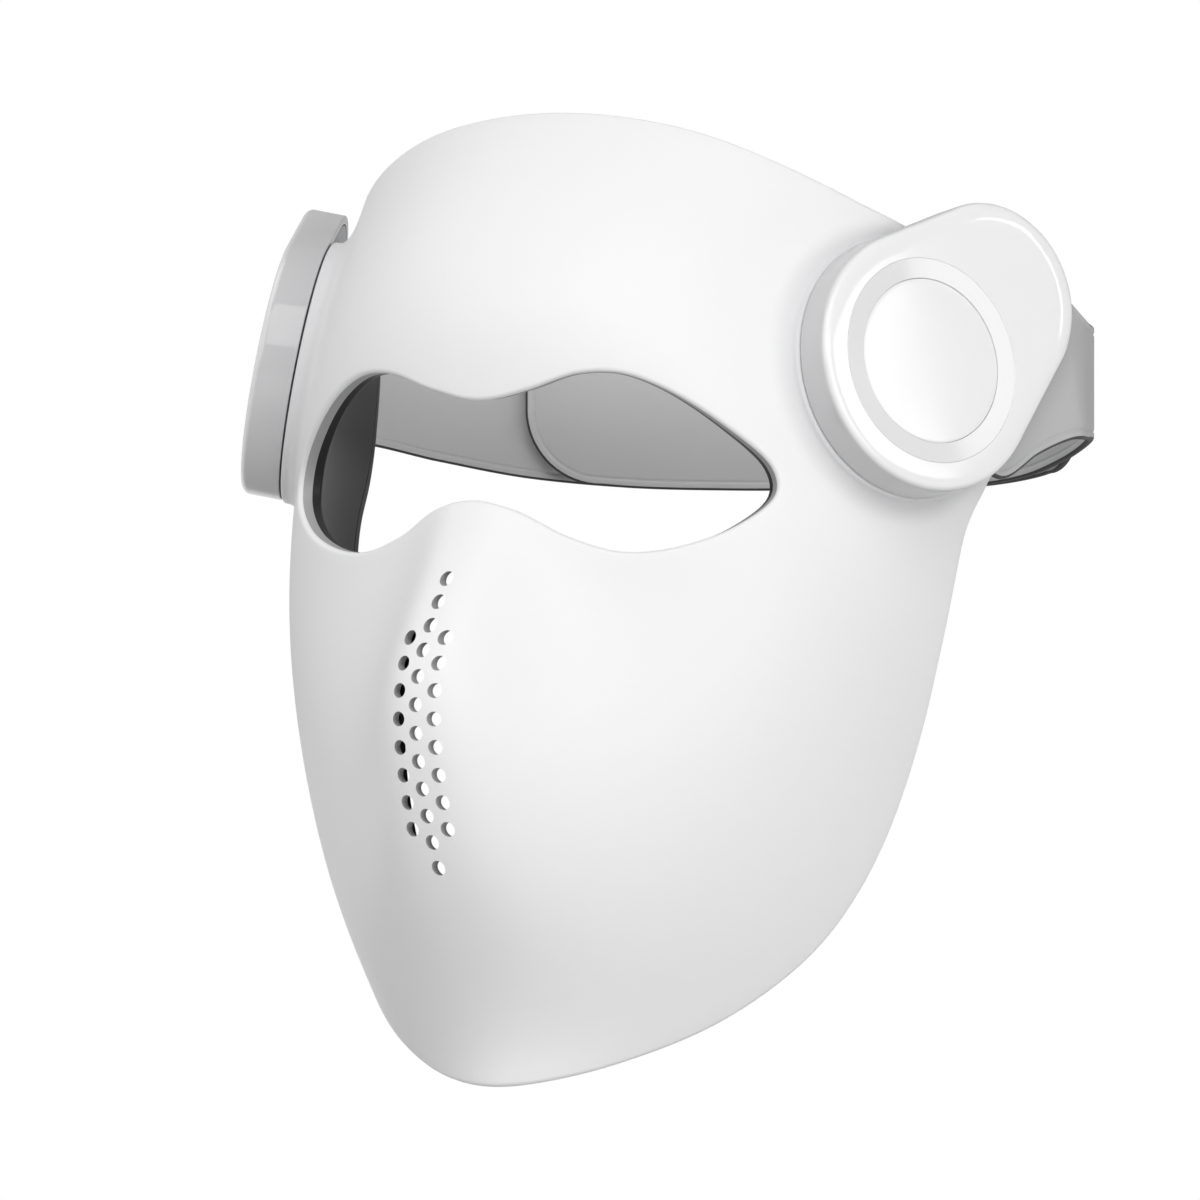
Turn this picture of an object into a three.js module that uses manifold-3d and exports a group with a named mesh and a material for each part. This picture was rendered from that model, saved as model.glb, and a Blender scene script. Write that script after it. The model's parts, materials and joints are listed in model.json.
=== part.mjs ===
// LED face mask with two side pods and a head strap.
// Millimetres, +Z up, the face looks along -Y, +X is the wearer's left side.
// The origin is the midpoint between the two pod pivots, at the wearer's temples.
import * as THREE from 'three';
import { mergeVertices } from 'three/addons/utils/BufferGeometryUtils.js';
import Module from 'manifold-3d';

const wasm = await Module();
wasm.setup();

// Driving dimensions of the face shell
const SHELL_HEIGHT = 226;
const SHELL_HALF_WIDTH = 86;
const SHELL_DEPTH = 119;
const EYE_SIDE_BAND = 22;
const EYE_HEIGHT = 41;
const RIDGE_HEIGHT = 32;
const RIDGE_HALF_WIDTH = 30;
const VENT_DIAMETER = 3.4;
const VENT_PITCH = 6.55;
const VENT_COLUMN_GAP = 4.6;
const VENT_DROP = 22.9;

// The pivots sit at a set share of the shell's depth, height and width
const PIVOT_BACK_SHARE = 0.748;
const PIVOT_RISE_SHARE = 0.112;
const PIVOT_OUT_SHARE = 0.9186;
const PIVOT_SETBACK = PIVOT_BACK_SHARE * SHELL_DEPTH;
const EYE_LINE_DROP = PIVOT_RISE_SHARE * SHELL_HEIGHT;
const PIVOT_HALF_SPAN = PIVOT_OUT_SHARE * SHELL_HALF_WIDTH;

// The eye opening leaves a band of the shell at each side
const EYE_HALF_WIDTH = SHELL_HALF_WIDTH - EYE_SIDE_BAND;

// Driving dimensions of the sandwich of shell, lights and liner, as depths below the outer skin
const SHELL_WALL = 2.4;
const FLEX_THICKNESS = 0.45;
const LED_HEIGHT = 0.9;
const LED_SIZE = 3.2;
const LINER_THICKNESS = 1.3;
const LIP_WIDTH = 3;
const CLEARANCE = 0.3;
const OVERRUN = 12;

// Driving dimensions of the pods
const POD_TOE_IN = 24;
const POD_CANT = 11;
const POD_RADIUS = 30.5;
const LUG_RADIUS = 23;
const LUG_BACK = 21;
const LUG_UP = 14.5;
const BOSS_RADIUS = 31;
const BOSS_WALL = 3;
const BOSS_DEPTH = 4;
const BOSS_FLARE = 6;
const BOSS_STRAIGHT = 2.2;
const COVER_THICKNESS = 9.6;
const COVER_WALL = 2;
const COVER_TOP_WALL = 2.6;
const COVER_EDGE = 1.8;
const SEAM = 0.4;
const RING_RADIUS = 24;
const RING_DROP = 1;
const RING_SEAT = 1.6;
const DISC_RADIUS = 19.2;
const DISC_THICKNESS = 2.2;
const DISC_EDGE = 0.8;
const HUB_RADIUS = 9;
const HUB_BORE = 5.5;
const HUB_HEIGHT = 4.6;
const LEAD_HOLE = 1.5;
const BASE_THICKNESS = 1.4;
const ARM_PLATE_THICKNESS = 1.6;
const SNAP_RING_WIDTH = 3;
const SNAP_RING_THICKNESS = 0.8;
const BUTTON_TRAVEL = 0.6;
const SKIRT_WALL = 2;
const BOARD_THICKNESS = 1.1;
const CHIP_HEIGHT = 0.7;
const CHIP_SIZE = 5;
const SWITCH_SIZE = 6;
const SWITCH_HEIGHT = 1.2;
const SWITCH_GAP = 0.1;
const STEM_RADIUS = 2;
const BATTERY_LENGTH = 28;
const BATTERY_WIDTH = 9.2;
const BATTERY_HEIGHT = 4.4;
const BATTERY_BACK = -2.5;
const BATTERY_UP = 17.6;
const SOCKET_LENGTH = 9;
const SOCKET_HEIGHT = 3.3;
const SOCKET_DEPTH = 7;
const SOCKET_WALL = 0.4;
const SOCKET_SETBACK = 0.6;
const SOCKET_HEADING = 50;
const SCREW_RADIUS = 1.1;
const SCREW_HEAD_RADIUS = 2.2;
const SCREW_HEAD_HEIGHT = 0.9;
const SCREW_SINK = 0.2;
const POST_RADIUS = 2.6;
const CLAMP_THICKNESS = 1.4;
const CLAMP_WIDTH = 9;
const CLAMP_PLACE = 19;

// Driving dimensions of the head strap
const STRAP_THICKNESS = 2;
const STRAP_REACH = 103.5;
const STRAP_ROOT_WIDTH = 44;
const STRAP_TANG_LENGTH = 31;
const STRAP_TANG_START = 13.5;
const STRAP_JOINT_GAP = 0.8;
const PATCH_THICKNESS = 0.35;
const PATCH_GAP = 0.2;
const PATCH_HALF_SPAN = 40;
const PATCH_MARGIN = 4;
const STRAP_END_RADIUS = 18;
const SLOT_MARGIN = 0.7;
const LED_SINK = 0.2;

// Facet counts
const FACE_COLUMNS = 12;
const FACE_ROWS = 20;
const ROUND_STEPS = 28;
const SMALL_STEPS = 8;
const EDGE_SEGMENTS = 2;
const STATIONS_PER_KNOT = 4;
const SETTLE_KNOTS = 2;
const LEFT_EXTRA_KNOTS = 3;
const RIGHT_EXTRA_KNOTS = 4;

const COLUMN_POWER_SHARE = 1.25;
const HALF_TURN = Math.PI;
const QUARTER_TURN = Math.PI / 2;

// The concave foot of the boss: how far out and how far down, from its straight wall to the shell
const flareDropShares = [[0, 0], [0.06, 0.35], [0.25, 0.62], [0.55, 0.83], [1, 1]];

// Light strips: shares across the face, shares of the height above the eye line
const lightStripShares = {
  led_strip_forehead: { from: -0.51, to: 0.51, low: 0.135, high: 0.27 },
  led_strip_left_cheek: { from: 0.07, to: 0.64, low: -0.4, high: -0.11 },
  led_strip_right_cheek: { from: -0.64, to: -0.07, low: -0.4, high: -0.11 },
  led_strip_chin: { from: -0.26, to: 0.26, low: -0.545, high: -0.455 },
};
const LEAD_FROM_SHARE = 0.55;
const LEAD_TO_SHARE = 0.78;
const LEAD_LOW_SHARE = 0.08;
const LEAD_HIGH_SHARE = 0.16;

// The three screws that hold each cover: shares of the pod radius backwards and upwards from the pivot
const coverScrewShares = [[-0.66, 0.26], [-0.26, -0.66], [0.46, 0.95]];

// The rigid tang inside the cover: shares of its length and of the strap's root width
const tangShares = [
  [0, -0.5], [0.25, -0.6], [0.62, -0.473], [0.87, -0.407], [1, -0.385], [1, 0.4], [0.62, 0.445], [0, 0.39],
];
const clampScrewShares = [-0.2, 0.14];
const CLAMP_LENGTH_SHARE = 0.56;
const CLAMP_CENTRE_SHARE = -0.03;
const chipTurnShares = [0.05, 0.2, 0.36, 0.58, 0.83];

// The strap from its pod to the middle of the back: shares of the way out from the midplane, of the
// way back from the pod, then the centre's rise and the half width as shares of the root width
const STRAP_START_SHARE = 0.008;
const strapStartShare = 0.392;
const strapShares = [
  [1.012, 0.081, -0.03, 0.335], [1.005, 0.178, -0.057, 0.303], [0.963, 0.324, -0.068, 0.309],
  [0.856, 0.487, -0.07, 0.386], [0.677, 0.694, -0.075, 0.477], [0.458, 0.867, -0.075, 0.53],
  [0.219, 0.97, -0.075, 0.545], [0, 1, -0.075, 0.545],
];

const white = new THREE.MeshStandardMaterial({ color: 0xf1f1f1, roughness: 0.32, metalness: 0 });
const smoke = new THREE.MeshStandardMaterial({ color: 0x4a4b4e, roughness: 0.35, metalness: 0 });
const amber = new THREE.MeshStandardMaterial({ color: 0xb98a3e, roughness: 0.5, metalness: 0 });
const green = new THREE.MeshStandardMaterial({ color: 0x2f6b45, roughness: 0.6, metalness: 0 });
const steel = new THREE.MeshStandardMaterial({ color: 0xb8babd, roughness: 0.35, metalness: 1 });
const grey = new THREE.MeshStandardMaterial({ color: 0xa7a8aa, roughness: 0.7, metalness: 0 });
const dark = new THREE.MeshStandardMaterial({ color: 0x3a3b3d, roughness: 0.6, metalness: 0 });
const silver = new THREE.MeshStandardMaterial({ color: 0xc9ccd1, roughness: 0.45, metalness: 0.4 });

const mask = new THREE.Group();

// Solids and meshes

function solid(geometry, matrix) {
  const bare = geometry.clone();
  if (matrix) bare.applyMatrix4(matrix);
  bare.deleteAttribute('normal');
  bare.deleteAttribute('uv');
  const merged = mergeVertices(bare);
  return new wasm.Manifold(new wasm.Mesh({
    numProp: 3,
    vertProperties: new Float32Array(merged.attributes.position.array),
    triVerts: new Uint32Array(merged.index.array),
  }));
}

function geometryOf(body) {
  const mesh = body.getMesh();
  const geometry = new THREE.BufferGeometry();
  geometry.setAttribute('position', new THREE.BufferAttribute(new Float32Array(mesh.vertProperties), 3));
  geometry.setIndex(new THREE.BufferAttribute(new Uint32Array(mesh.triVerts), 1));
  geometry.computeVertexNormals();
  return geometry;
}

function place(parent, name, geometry, material) {
  const mesh = new THREE.Mesh(geometry, material);
  mesh.name = name;
  parent.add(mesh);
  return mesh;
}

// A closed skin between two grids of points of the same size
function closedSkin(outer, inner) {
  const rows = outer.length;
  const columns = outer[0].length;
  const positions = [...outer.flat(), ...inner.flat()].flatMap((p) => [p.x, p.y, p.z]);
  const index = [];
  const at = (layer, row, column) => (layer * rows + row) * columns + column;
  const quad = (a, b, c, d) => index.push(a, b, c, a, c, d);
  for (let row = 0; row < rows - 1; row += 1) {
    for (let column = 0; column < columns - 1; column += 1) {
      quad(at(0, row, column), at(0, row, column + 1), at(0, row + 1, column + 1), at(0, row + 1, column));
      quad(at(1, row, column), at(1, row + 1, column), at(1, row + 1, column + 1), at(1, row, column + 1));
    }
    const last = columns - 1;
    quad(at(0, row, 0), at(0, row + 1, 0), at(1, row + 1, 0), at(1, row, 0));
    quad(at(0, row, last), at(1, row, last), at(1, row + 1, last), at(0, row + 1, last));
  }
  for (let column = 0; column < columns - 1; column += 1) {
    const last = rows - 1;
    quad(at(0, 0, column), at(1, 0, column), at(1, 0, column + 1), at(0, 0, column + 1));
    quad(at(0, last, column), at(0, last, column + 1), at(1, last, column + 1), at(1, last, column));
  }
  const geometry = new THREE.BufferGeometry();
  geometry.setAttribute('position', new THREE.BufferAttribute(new Float32Array(positions), 3));
  geometry.setIndex(index);
  return geometry;
}

// The face form: each level of the face is one smooth curve from the midplane to the rear edge.
// The tables run upwards from below the chin, one value for each row.
const ROW_START_SHARE = -0.779;
const ROW_STEP_SHARE = 0.1593;
const frontShares = [0.47, 0.34, 0.21, 0.2, 0.27, 0.27, 0.2, 0.46, 0.82, 1.19];
const rearShares = [0.84, 0.87, 0.89, 0.91, 0.92, 0.97, 1.03, 1.06, 1.08, 1.13];
const widthShares = [0.45, 0.63, 0.8, 0.89, 0.96, 0.99, 0.985, 0.93, 0.86, 0.79];
const fullnessShares = [0.31, 0.41, 0.55, 0.69, 0.81, 0.77, 0.64, 0.52, 0.43, 0.37];
const templeShares = [0.41, 0.43, 0.46, 0.49, 0.53, 0.53, 0.5, 0.47, 0.46, 0.46];
const flareShares = [0.25, 0.17, 0.09, 0.06, 0.08, 0.24, 0.38, 0.46, 0.49, 0.51];
// The nose ridge stands on that form, with its own rows
const RIDGE_START_SHARE = -0.6195;
const RIDGE_STEP_SHARE = 0.1062;
const ridgeShares = [0, 0.04, 0.42, 0.73, 1, 0.46, 0, 0, 0, 0];
const ridgeWidthShares = [1, 0.93, 0.87, 0.8, 0.63, 0.5, 0.43, 0.43, 0.43, 0.43];
const RIDGE_POWER = 3;

// A smooth value between the rows of a table
function blended(shares, startShare, stepShare, level) {
  const along = (level / SHELL_HEIGHT - startShare) / stepShare;
  const row = Math.min(Math.max(Math.floor(along), 1), shares.length - 3);
  const f = along - row;
  const weights = [(1 - f) ** 3, 3 * f ** 3 - 6 * f ** 2 + 4, -3 * f ** 3 + 3 * f ** 2 + 3 * f + 1, f ** 3];
  return weights.reduce((sum, weight, i) => sum + weight * shares[row - 1 + i], 0) / 6;
}

// The outer face at a share across (-1 right cheek to 1 left cheek) and a level above the eye line
function facePoint(across, level) {
  const row = (shares) => blended(shares, ROW_START_SHARE, ROW_STEP_SHARE, level);
  const front = row(frontShares) * SHELL_DEPTH;
  const rear = row(rearShares) * SHELL_DEPTH;
  const width = row(widthShares) * SHELL_HALF_WIDTH;
  const temple = row(templeShares) * (rear - front);
  const a = Math.abs(across);
  const weights = [(1 - a) ** 3, 3 * a * (1 - a) ** 2, 3 * a ** 2 * (1 - a), a ** 3];
  const outs = [0, row(fullnessShares) * width, width - temple * row(flareShares), width];
  const backs = [front, front, rear - temple, rear];
  const out = weights.reduce((sum, weight, i) => sum + weight * outs[i], 0);
  const back = weights.reduce((sum, weight, i) => sum + weight * backs[i], 0);
  const ridge = blended(ridgeShares, RIDGE_START_SHARE, RIDGE_STEP_SHARE, level) * RIDGE_HEIGHT;
  const ridgeShare = blended(ridgeWidthShares, RIDGE_START_SHARE, RIDGE_STEP_SHARE, level);
  const ridgeWidth = ridgeShare * RIDGE_HALF_WIDTH;
  const lift = ridge / (1 + (out / ridgeWidth) ** RIDGE_POWER);
  return new THREE.Vector3(Math.sign(across) * out, back - lift - PIVOT_SETBACK, level - EYE_LINE_DROP);
}

const ACROSS_NUDGE_SHARE = 0.004;
const LEVEL_NUDGE_SHARE = 0.002;
const WALK_SHARE = 0.01;

function faceNormal(across, level) {
  const side = facePoint(across + ACROSS_NUDGE_SHARE, level);
  side.sub(facePoint(across - ACROSS_NUDGE_SHARE, level));
  const nudge = LEVEL_NUDGE_SHARE * SHELL_HEIGHT;
  const rise = facePoint(across, level + nudge).sub(facePoint(across, level - nudge));
  return side.cross(rise).normalize();
}

function skinPoint(across, level, depth) {
  return facePoint(across, level).addScaledVector(faceNormal(across, level), -depth);
}

// The grid that every layer of the sandwich shares, so that the layers stay parallel
const GRID_LOW_SHARE = -0.65;
const GRID_HIGH_SHARE = 0.405;
const GRID_REACH_SHARE = 1.08;
const columnShares = [];
for (let i = -FACE_COLUMNS; i <= FACE_COLUMNS; i += 1) {
  columnShares.push(GRID_REACH_SHARE * Math.sign(i) * Math.abs(i / FACE_COLUMNS) ** COLUMN_POWER_SHARE);
}
const rowLevels = [];
for (let i = 0; i <= FACE_ROWS; i += 1) {
  const share = GRID_LOW_SHARE + (GRID_HIGH_SHARE - GRID_LOW_SHARE) * (i / FACE_ROWS);
  rowLevels.push(share * SHELL_HEIGHT);
}

function layer(columns, levels, fromDepth, toDepth) {
  const grid = (depth) => levels.map((level) => columns.map((across) => skinPoint(across, level, depth)));
  return closedSkin(grid(fromDepth), grid(toDepth));
}

// Outlines: the side view of the rear edge, and the front view of the eye opening.
// The edge runs from the chin, round the jaw and the temple, to the top of the forehead.
const edgeShares = [
  [0.1, -0.66], [0.285, -0.622], [0.41, -0.595], [0.542, -0.553], [0.664, -0.491], [0.74, -0.429],
  [0.8, -0.354], [0.845, -0.265], [0.876, -0.177], [0.912, -0.088], [0.94, -0.045], [1.0, 0],
  [1.04, 0.05], [1.055, 0.115], [1.005, 0.19], [0.9, 0.245], [0.765, 0.285], [0.66, 0.323],
  [0.59, 0.358], [0.555, 0.378], [0.5, 0.42],
];
const EDGE_STEPS = 40;
const eyeShares = [
  [0, 0.434], [0.19, 0.49], [0.38, 0.585], [0.53, 0.588], [0.68, 0.493], [0.85, 0.29], [0.975, 0.06],
  [0.985, -0.1], [0.875, -0.276], [0.7, -0.385], [0.53, -0.405], [0.35, -0.32], [0.164, -0.166], [0, -0.112],
];
const EYE_STEPS = 18;

// Moves a closed loop of points outwards, or inwards for a negative distance
function offsetLoop(points, distance) {
  const turn = THREE.ShapeUtils.area(points) > 0 ? 1 : -1;
  return points.map((point, i) => {
    const before = points[(i + points.length - 1) % points.length];
    const after = points[(i + 1) % points.length];
    const run = after.clone().sub(before).normalize();
    return new THREE.Vector2(point.x + turn * run.y * distance, point.y - turn * run.x * distance);
  });
}

function edgeLoop() {
  const knots = edgeShares.map(([back, up]) => new THREE.Vector2(
    back * SHELL_DEPTH - PIVOT_SETBACK,
    up * SHELL_HEIGHT - EYE_LINE_DROP,
  ));
  return new THREE.SplineCurve(knots).getSpacedPoints(EDGE_STEPS);
}

// A slab along X whose side view is the region in front of the rear edge, set in by a distance
function edgeSlab(inset) {
  const curve = edgeLoop();
  const front = -PIVOT_SETBACK - SHELL_DEPTH;
  const ends = [curve[curve.length - 1], curve[0]];
  const closing = ends.map((end) => new THREE.Vector2(front, end.y));
  const loop = offsetLoop([...curve, ...closing], -inset);
  const shape = new THREE.Shape(loop);
  const reach = SHELL_HALF_WIDTH + OVERRUN + OVERRUN;
  const slab = new THREE.ExtrudeGeometry(shape, { depth: 2 * reach, bevelEnabled: false });
  // the shape's own x and y become the world's Y and Z, and its depth runs along X
  const axes = new THREE.Matrix4().makeBasis(
    new THREE.Vector3(0, 1, 0), new THREE.Vector3(0, 0, 1), new THREE.Vector3(1, 0, 0),
  );
  return solid(slab, axes.setPosition(-reach, 0, 0));
}

function eyeLoop() {
  const half = eyeShares.map(([out, up]) => new THREE.Vector2(out * EYE_HALF_WIDTH, up * EYE_HEIGHT));
  const mirrored = half.slice(1, -1).reverse().map((point) => new THREE.Vector2(-point.x, point.y));
  const knots = [...half, ...mirrored];
  const curve = new THREE.CatmullRomCurve3(knots.map((knot) => new THREE.Vector3(knot.x, knot.y, 0)), true);
  const points = curve.getSpacedPoints(2 * EYE_STEPS).slice(0, -1);
  return points.map((point) => new THREE.Vector2(point.x, point.y - EYE_LINE_DROP));
}

// A prism that looks along Y, from well in front of the face to behind it
function frontPrism(loop) {
  const depth = SHELL_DEPTH + 2 * OVERRUN;
  const prism = new THREE.ExtrudeGeometry(new THREE.Shape(loop), { depth, bevelEnabled: false });
  const turn = new THREE.Matrix4().makeRotationX(QUARTER_TURN);
  return solid(prism, turn.setPosition(0, depth - PIVOT_SETBACK - OVERRUN, 0));
}

// Breathing holes walk down the ridge at an even pitch along its curve
function ventLevels(firstLevel, count) {
  const levels = [firstLevel];
  const step = VENT_PITCH * WALK_SHARE;
  while (levels.length < count) {
    let level = levels[levels.length - 1];
    const start = facePoint(0, level);
    while (facePoint(0, level).distanceTo(start) < VENT_PITCH) {
      level -= step;
    }
    levels.push(level);
  }
  return levels;
}

const CENTRE_VENTS = 12;
const SIDE_VENTS = 8;
const VENT_STEPS = 6;

function ventPoints() {
  const centre = ventLevels(-VENT_DROP, CENTRE_VENTS);
  const sideRows = centre.slice(2, 3 + SIDE_VENTS);
  const points = centre.map((level) => [0, level]);
  for (let i = 0; i < SIDE_VENTS; i += 1) {
    const level = (sideRows[i] + sideRows[i + 1]) / 2;
    points.push([VENT_COLUMN_GAP, level], [-VENT_COLUMN_GAP, level]);
  }
  return points;
}

function ventDrill([out, level]) {
  const drill = new THREE.CylinderGeometry(VENT_DIAMETER / 2, VENT_DIAMETER / 2, 2 * OVERRUN, VENT_STEPS);
  const y = facePoint(0, level).y;
  return solid(drill, new THREE.Matrix4().makeTranslation(out, y, level - EYE_LINE_DROP));
}

// One slot behind all the vents, through the liner
function ventSlot(margin) {
  const levels = ventLevels(-VENT_DROP, CENTRE_VENTS);
  const half = VENT_COLUMN_GAP + VENT_DIAMETER / 2 + margin;
  const top = levels[0] + VENT_DIAMETER / 2 + margin - half - EYE_LINE_DROP;
  const bottom = levels[levels.length - 1] - VENT_DIAMETER / 2 - margin + half - EYE_LINE_DROP;
  const shape = new THREE.Shape();
  shape.absarc(0, top, half, 0, HALF_TURN);
  shape.absarc(0, bottom, half, HALF_TURN, 2 * HALF_TURN);
  return frontPrism(shape.getPoints(SMALL_STEPS));
}

// Pods: each pod's group has X rearwards, Z outwards along the pivot, and Y up (down on the right side)
const toeIn = THREE.MathUtils.degToRad(POD_TOE_IN);
const cant = THREE.MathUtils.degToRad(POD_CANT);

function podGroup(side) {
  const out = new THREE.Vector3(
    side * Math.cos(cant) * Math.cos(toeIn), -Math.cos(cant) * Math.sin(toeIn), Math.sin(cant),
  );
  const back = new THREE.Vector3(side * Math.sin(toeIn), Math.cos(toeIn), 0);
  const up = out.clone().cross(back);
  const group = new THREE.Group();
  const frame = new THREE.Matrix4().makeBasis(back, up, out);
  group.position.set(side * PIVOT_HALF_SPAN, 0, 0);
  group.quaternion.setFromRotationMatrix(frame);
  group.updateMatrixWorld(true);
  mask.add(group);
  return group;
}

// A profile of [radius, height] points turned about the pivot axis
function turned(profile, steps) {
  const points = profile.map(([radius, height]) => new THREE.Vector2(radius, height));
  const lathe = new THREE.LatheGeometry([...points, points[0]], steps);
  return lathe.rotateX(QUARTER_TURN);
}

function ringProfile(inner, outer, low, high) {
  return [[inner, low], [outer, low], [outer, high], [inner, high]];
}

// The pod outline is the hull of the pivot circle and the lug circle.
// The sign is the lug's side: up in the group of the left pod, down in that of the right pod.
function podShape(inset, sign) {
  const main = POD_RADIUS - inset;
  const lug = LUG_RADIUS - inset;
  const distance = Math.hypot(LUG_BACK, LUG_UP);
  const heading = Math.atan2(sign * LUG_UP, LUG_BACK);
  const spread = Math.acos((main - lug) / distance);
  const shape = new THREE.Shape();
  shape.absarc(0, 0, main, heading + spread, heading - spread + 2 * HALF_TURN);
  shape.absarc(LUG_BACK, sign * LUG_UP, lug, heading - spread, heading + spread);
  return shape;
}

const podCurve = { curveSegments: ROUND_STEPS / 4 };
const COVER_TOP = SEAM + COVER_THICKNESS;
const COVER_INSIDE = COVER_TOP - COVER_TOP_WALL;

function slab(shape, low, high, options) {
  const geometry = new THREE.ExtrudeGeometry(shape, { depth: high - low, bevelEnabled: false, ...options });
  return geometry.translate(0, 0, low);
}

function disc(radius, low, high, x, y, steps) {
  const cylinder = new THREE.CylinderGeometry(radius, radius, high - low, steps);
  return cylinder.rotateX(QUARTER_TURN).translate(x, y, (low + high) / 2);
}

// Levels of the parts stacked on the pivot, measured outwards from the top of the boss
const BOSS_FLOOR = -BOSS_DEPTH;
const BASE_LOW = BOSS_FLOOR + CLEARANCE;
const BASE_TOP = BASE_LOW + BASE_THICKNESS;
const ARM_PLATE_LOW = SEAM;
const ARM_PLATE_TOP = ARM_PLATE_LOW + ARM_PLATE_THICKNESS;
const TANG_LOW = ARM_PLATE_TOP + CLEARANCE;
const TANG_TOP = TANG_LOW + STRAP_THICKNESS;
const CLAMP_LOW = TANG_TOP + CLEARANCE;
const CLAMP_TOP = CLAMP_LOW + CLAMP_THICKNESS;
const SNAP_LOW = ARM_PLATE_TOP + CLEARANCE;
const SNAP_TOP = SNAP_LOW + SNAP_RING_THICKNESS;
const DISC_TOP = COVER_TOP - CLEARANCE;
const DISC_LOW = DISC_TOP - DISC_THICKNESS;

const coverScrewPlaces = (sign) => coverScrewShares.map(([back, up]) => (
  [back * POD_RADIUS, sign * up * POD_RADIUS]
));

// The round steps of the pod pieces, from the pivot outwards
const BORE_RADIUS = BOSS_RADIUS - BOSS_WALL;
const BASE_RADIUS = BORE_RADIUS - CLEARANCE;
const HUB_HOLE = HUB_RADIUS + CLEARANCE;
const COVER_BORE = DISC_RADIUS + CLEARANCE;
const SWITCH_LOW = HUB_HEIGHT + CLEARANCE;
const SWITCH_TOP = SWITCH_LOW + SWITCH_HEIGHT;
const STEM_LOW = SWITCH_TOP + BUTTON_TRAVEL + SWITCH_GAP;
const SKIRT_LOW = SNAP_TOP + BUTTON_TRAVEL + CLEARANCE;

// The boss: a round wall with a flared foot, which the shell's own layers trim from inside
function bossSolid(matrix) {
  const foot = BOSS_RADIUS + BOSS_FLARE;
  const low = -BOSS_DEPTH - OVERRUN;
  const flare = flareDropShares.map(([out, down]) => [
    BOSS_RADIUS + out * BOSS_FLARE,
    -BOSS_STRAIGHT - down * (BOSS_FLARE + BOSS_STRAIGHT),
  ]);
  const profile = [[0, low], [foot, low], ...flare.reverse(), [BOSS_RADIUS, 0], [0, 0]];
  return solid(turned(profile, ROUND_STEPS), matrix);
}

function insidePod(matrix) {
  const bore = solid(disc(BORE_RADIUS, -BOSS_DEPTH, OVERRUN, 0, 0, ROUND_STEPS), matrix);
  const leadHole = solid(disc(HUB_BORE, -2 * OVERRUN, OVERRUN, 0, 0, SMALL_STEPS), matrix);
  return bore.add(leadHole);
}

function addFace(pods) {
  const eye = eyeLoop();
  const rimDepth = SHELL_WALL + CLEARANCE + FLEX_THICKNESS + LED_HEIGHT + CLEARANCE + LINER_THICKNESS;
  let shell = solid(layer(columnShares, rowLevels, 0, rimDepth));
  for (const pod of pods) shell = shell.add(bossSolid(pod.matrixWorld));
  shell = shell.subtract(solid(layer(columnShares, rowLevels, rimDepth, rimDepth + 2 * OVERRUN)));
  const pocket = solid(layer(columnShares, rowLevels, SHELL_WALL, rimDepth + OVERRUN));
  const inset = pocket.intersect(edgeSlab(LIP_WIDTH)).subtract(frontPrism(offsetLoop(eye, LIP_WIDTH)));
  shell = shell.subtract(inset).intersect(edgeSlab(0)).subtract(frontPrism(eye));
  for (const pod of pods) shell = shell.subtract(insidePod(pod.matrixWorld));
  for (const point of ventPoints()) shell = shell.subtract(ventDrill(point));
  place(mask, 'face_shell', geometryOf(shell), white);

  const linerTop = rimDepth - LINER_THICKNESS;
  let liner = solid(layer(columnShares, rowLevels, linerTop, rimDepth));
  liner = liner.intersect(edgeSlab(LIP_WIDTH + CLEARANCE));
  liner = liner.subtract(frontPrism(offsetLoop(eye, LIP_WIDTH + CLEARANCE)));
  liner = liner.subtract(ventSlot(CLEARANCE));
  for (const pod of pods) {
    const room = disc(BORE_RADIUS, BASE_LOW - CLEARANCE, OVERRUN, 0, 0, ROUND_STEPS);
    liner = liner.subtract(solid(room, pod.matrixWorld));
  }
  place(mask, 'inner_liner', geometryOf(liner), smoke);
}

// A flexible circuit between shell and liner, with a light chip in every other cell of its grid
function addLights(name, strip) {
  const low = SHELL_WALL + CLEARANCE;
  const columns = columnShares.filter((share) => share >= strip.from && share <= strip.to);
  const levels = rowLevels.filter((level) => level >= strip.low * SHELL_HEIGHT
    && level <= strip.high * SHELL_HEIGHT);
  let flex = solid(layer(columns, levels, low, low + FLEX_THICKNESS));
  for (let row = 0; row < levels.length - 1; row += 1) {
    for (let column = row % 2; column < columns.length - 1; column += 2) {
      const sides = columns.slice(column, column + 2);
      flex = flex.add(lightChip(sides, levels.slice(row, row + 2), low + FLEX_THICKNESS));
    }
  }
  place(mask, name, geometryOf(flex), amber);
}

// A chip on the flat middle of one grid cell
function lightChip(sides, heights, depth) {
  const corner = (i, j) => skinPoint(sides[i], heights[j], depth);
  const fall = corner(1, 1).sub(corner(0, 0));
  const normal = fall.clone().cross(corner(0, 1).sub(corner(1, 0))).normalize();
  const side = new THREE.Vector3(0, 0, 1).cross(normal).normalize();
  const centre = corner(0, 0).addScaledVector(fall, 1 / 2);
  const frame = new THREE.Matrix4().makeBasis(side, normal.clone().cross(side), normal);
  const height = LED_HEIGHT + LED_SINK;
  frame.setPosition(centre.addScaledVector(normal, -(LED_HEIGHT - LED_SINK) / 2));
  return solid(new THREE.BoxGeometry(LED_SIZE, LED_SIZE, height), frame);
}

// A flat lead from the forehead circuit to the hole under each pod
function addLead(name, side) {
  const low = SHELL_WALL + CLEARANCE;
  const shares = columnShares.filter((share) => side * share >= LEAD_FROM_SHARE
    && side * share <= LEAD_TO_SHARE);
  const levels = rowLevels.filter((level) => level >= LEAD_LOW_SHARE * SHELL_HEIGHT
    && level <= LEAD_HIGH_SHARE * SHELL_HEIGHT);
  place(mask, name, layer(shares, levels, low, low + FLEX_THICKNESS), dark);
}

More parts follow.
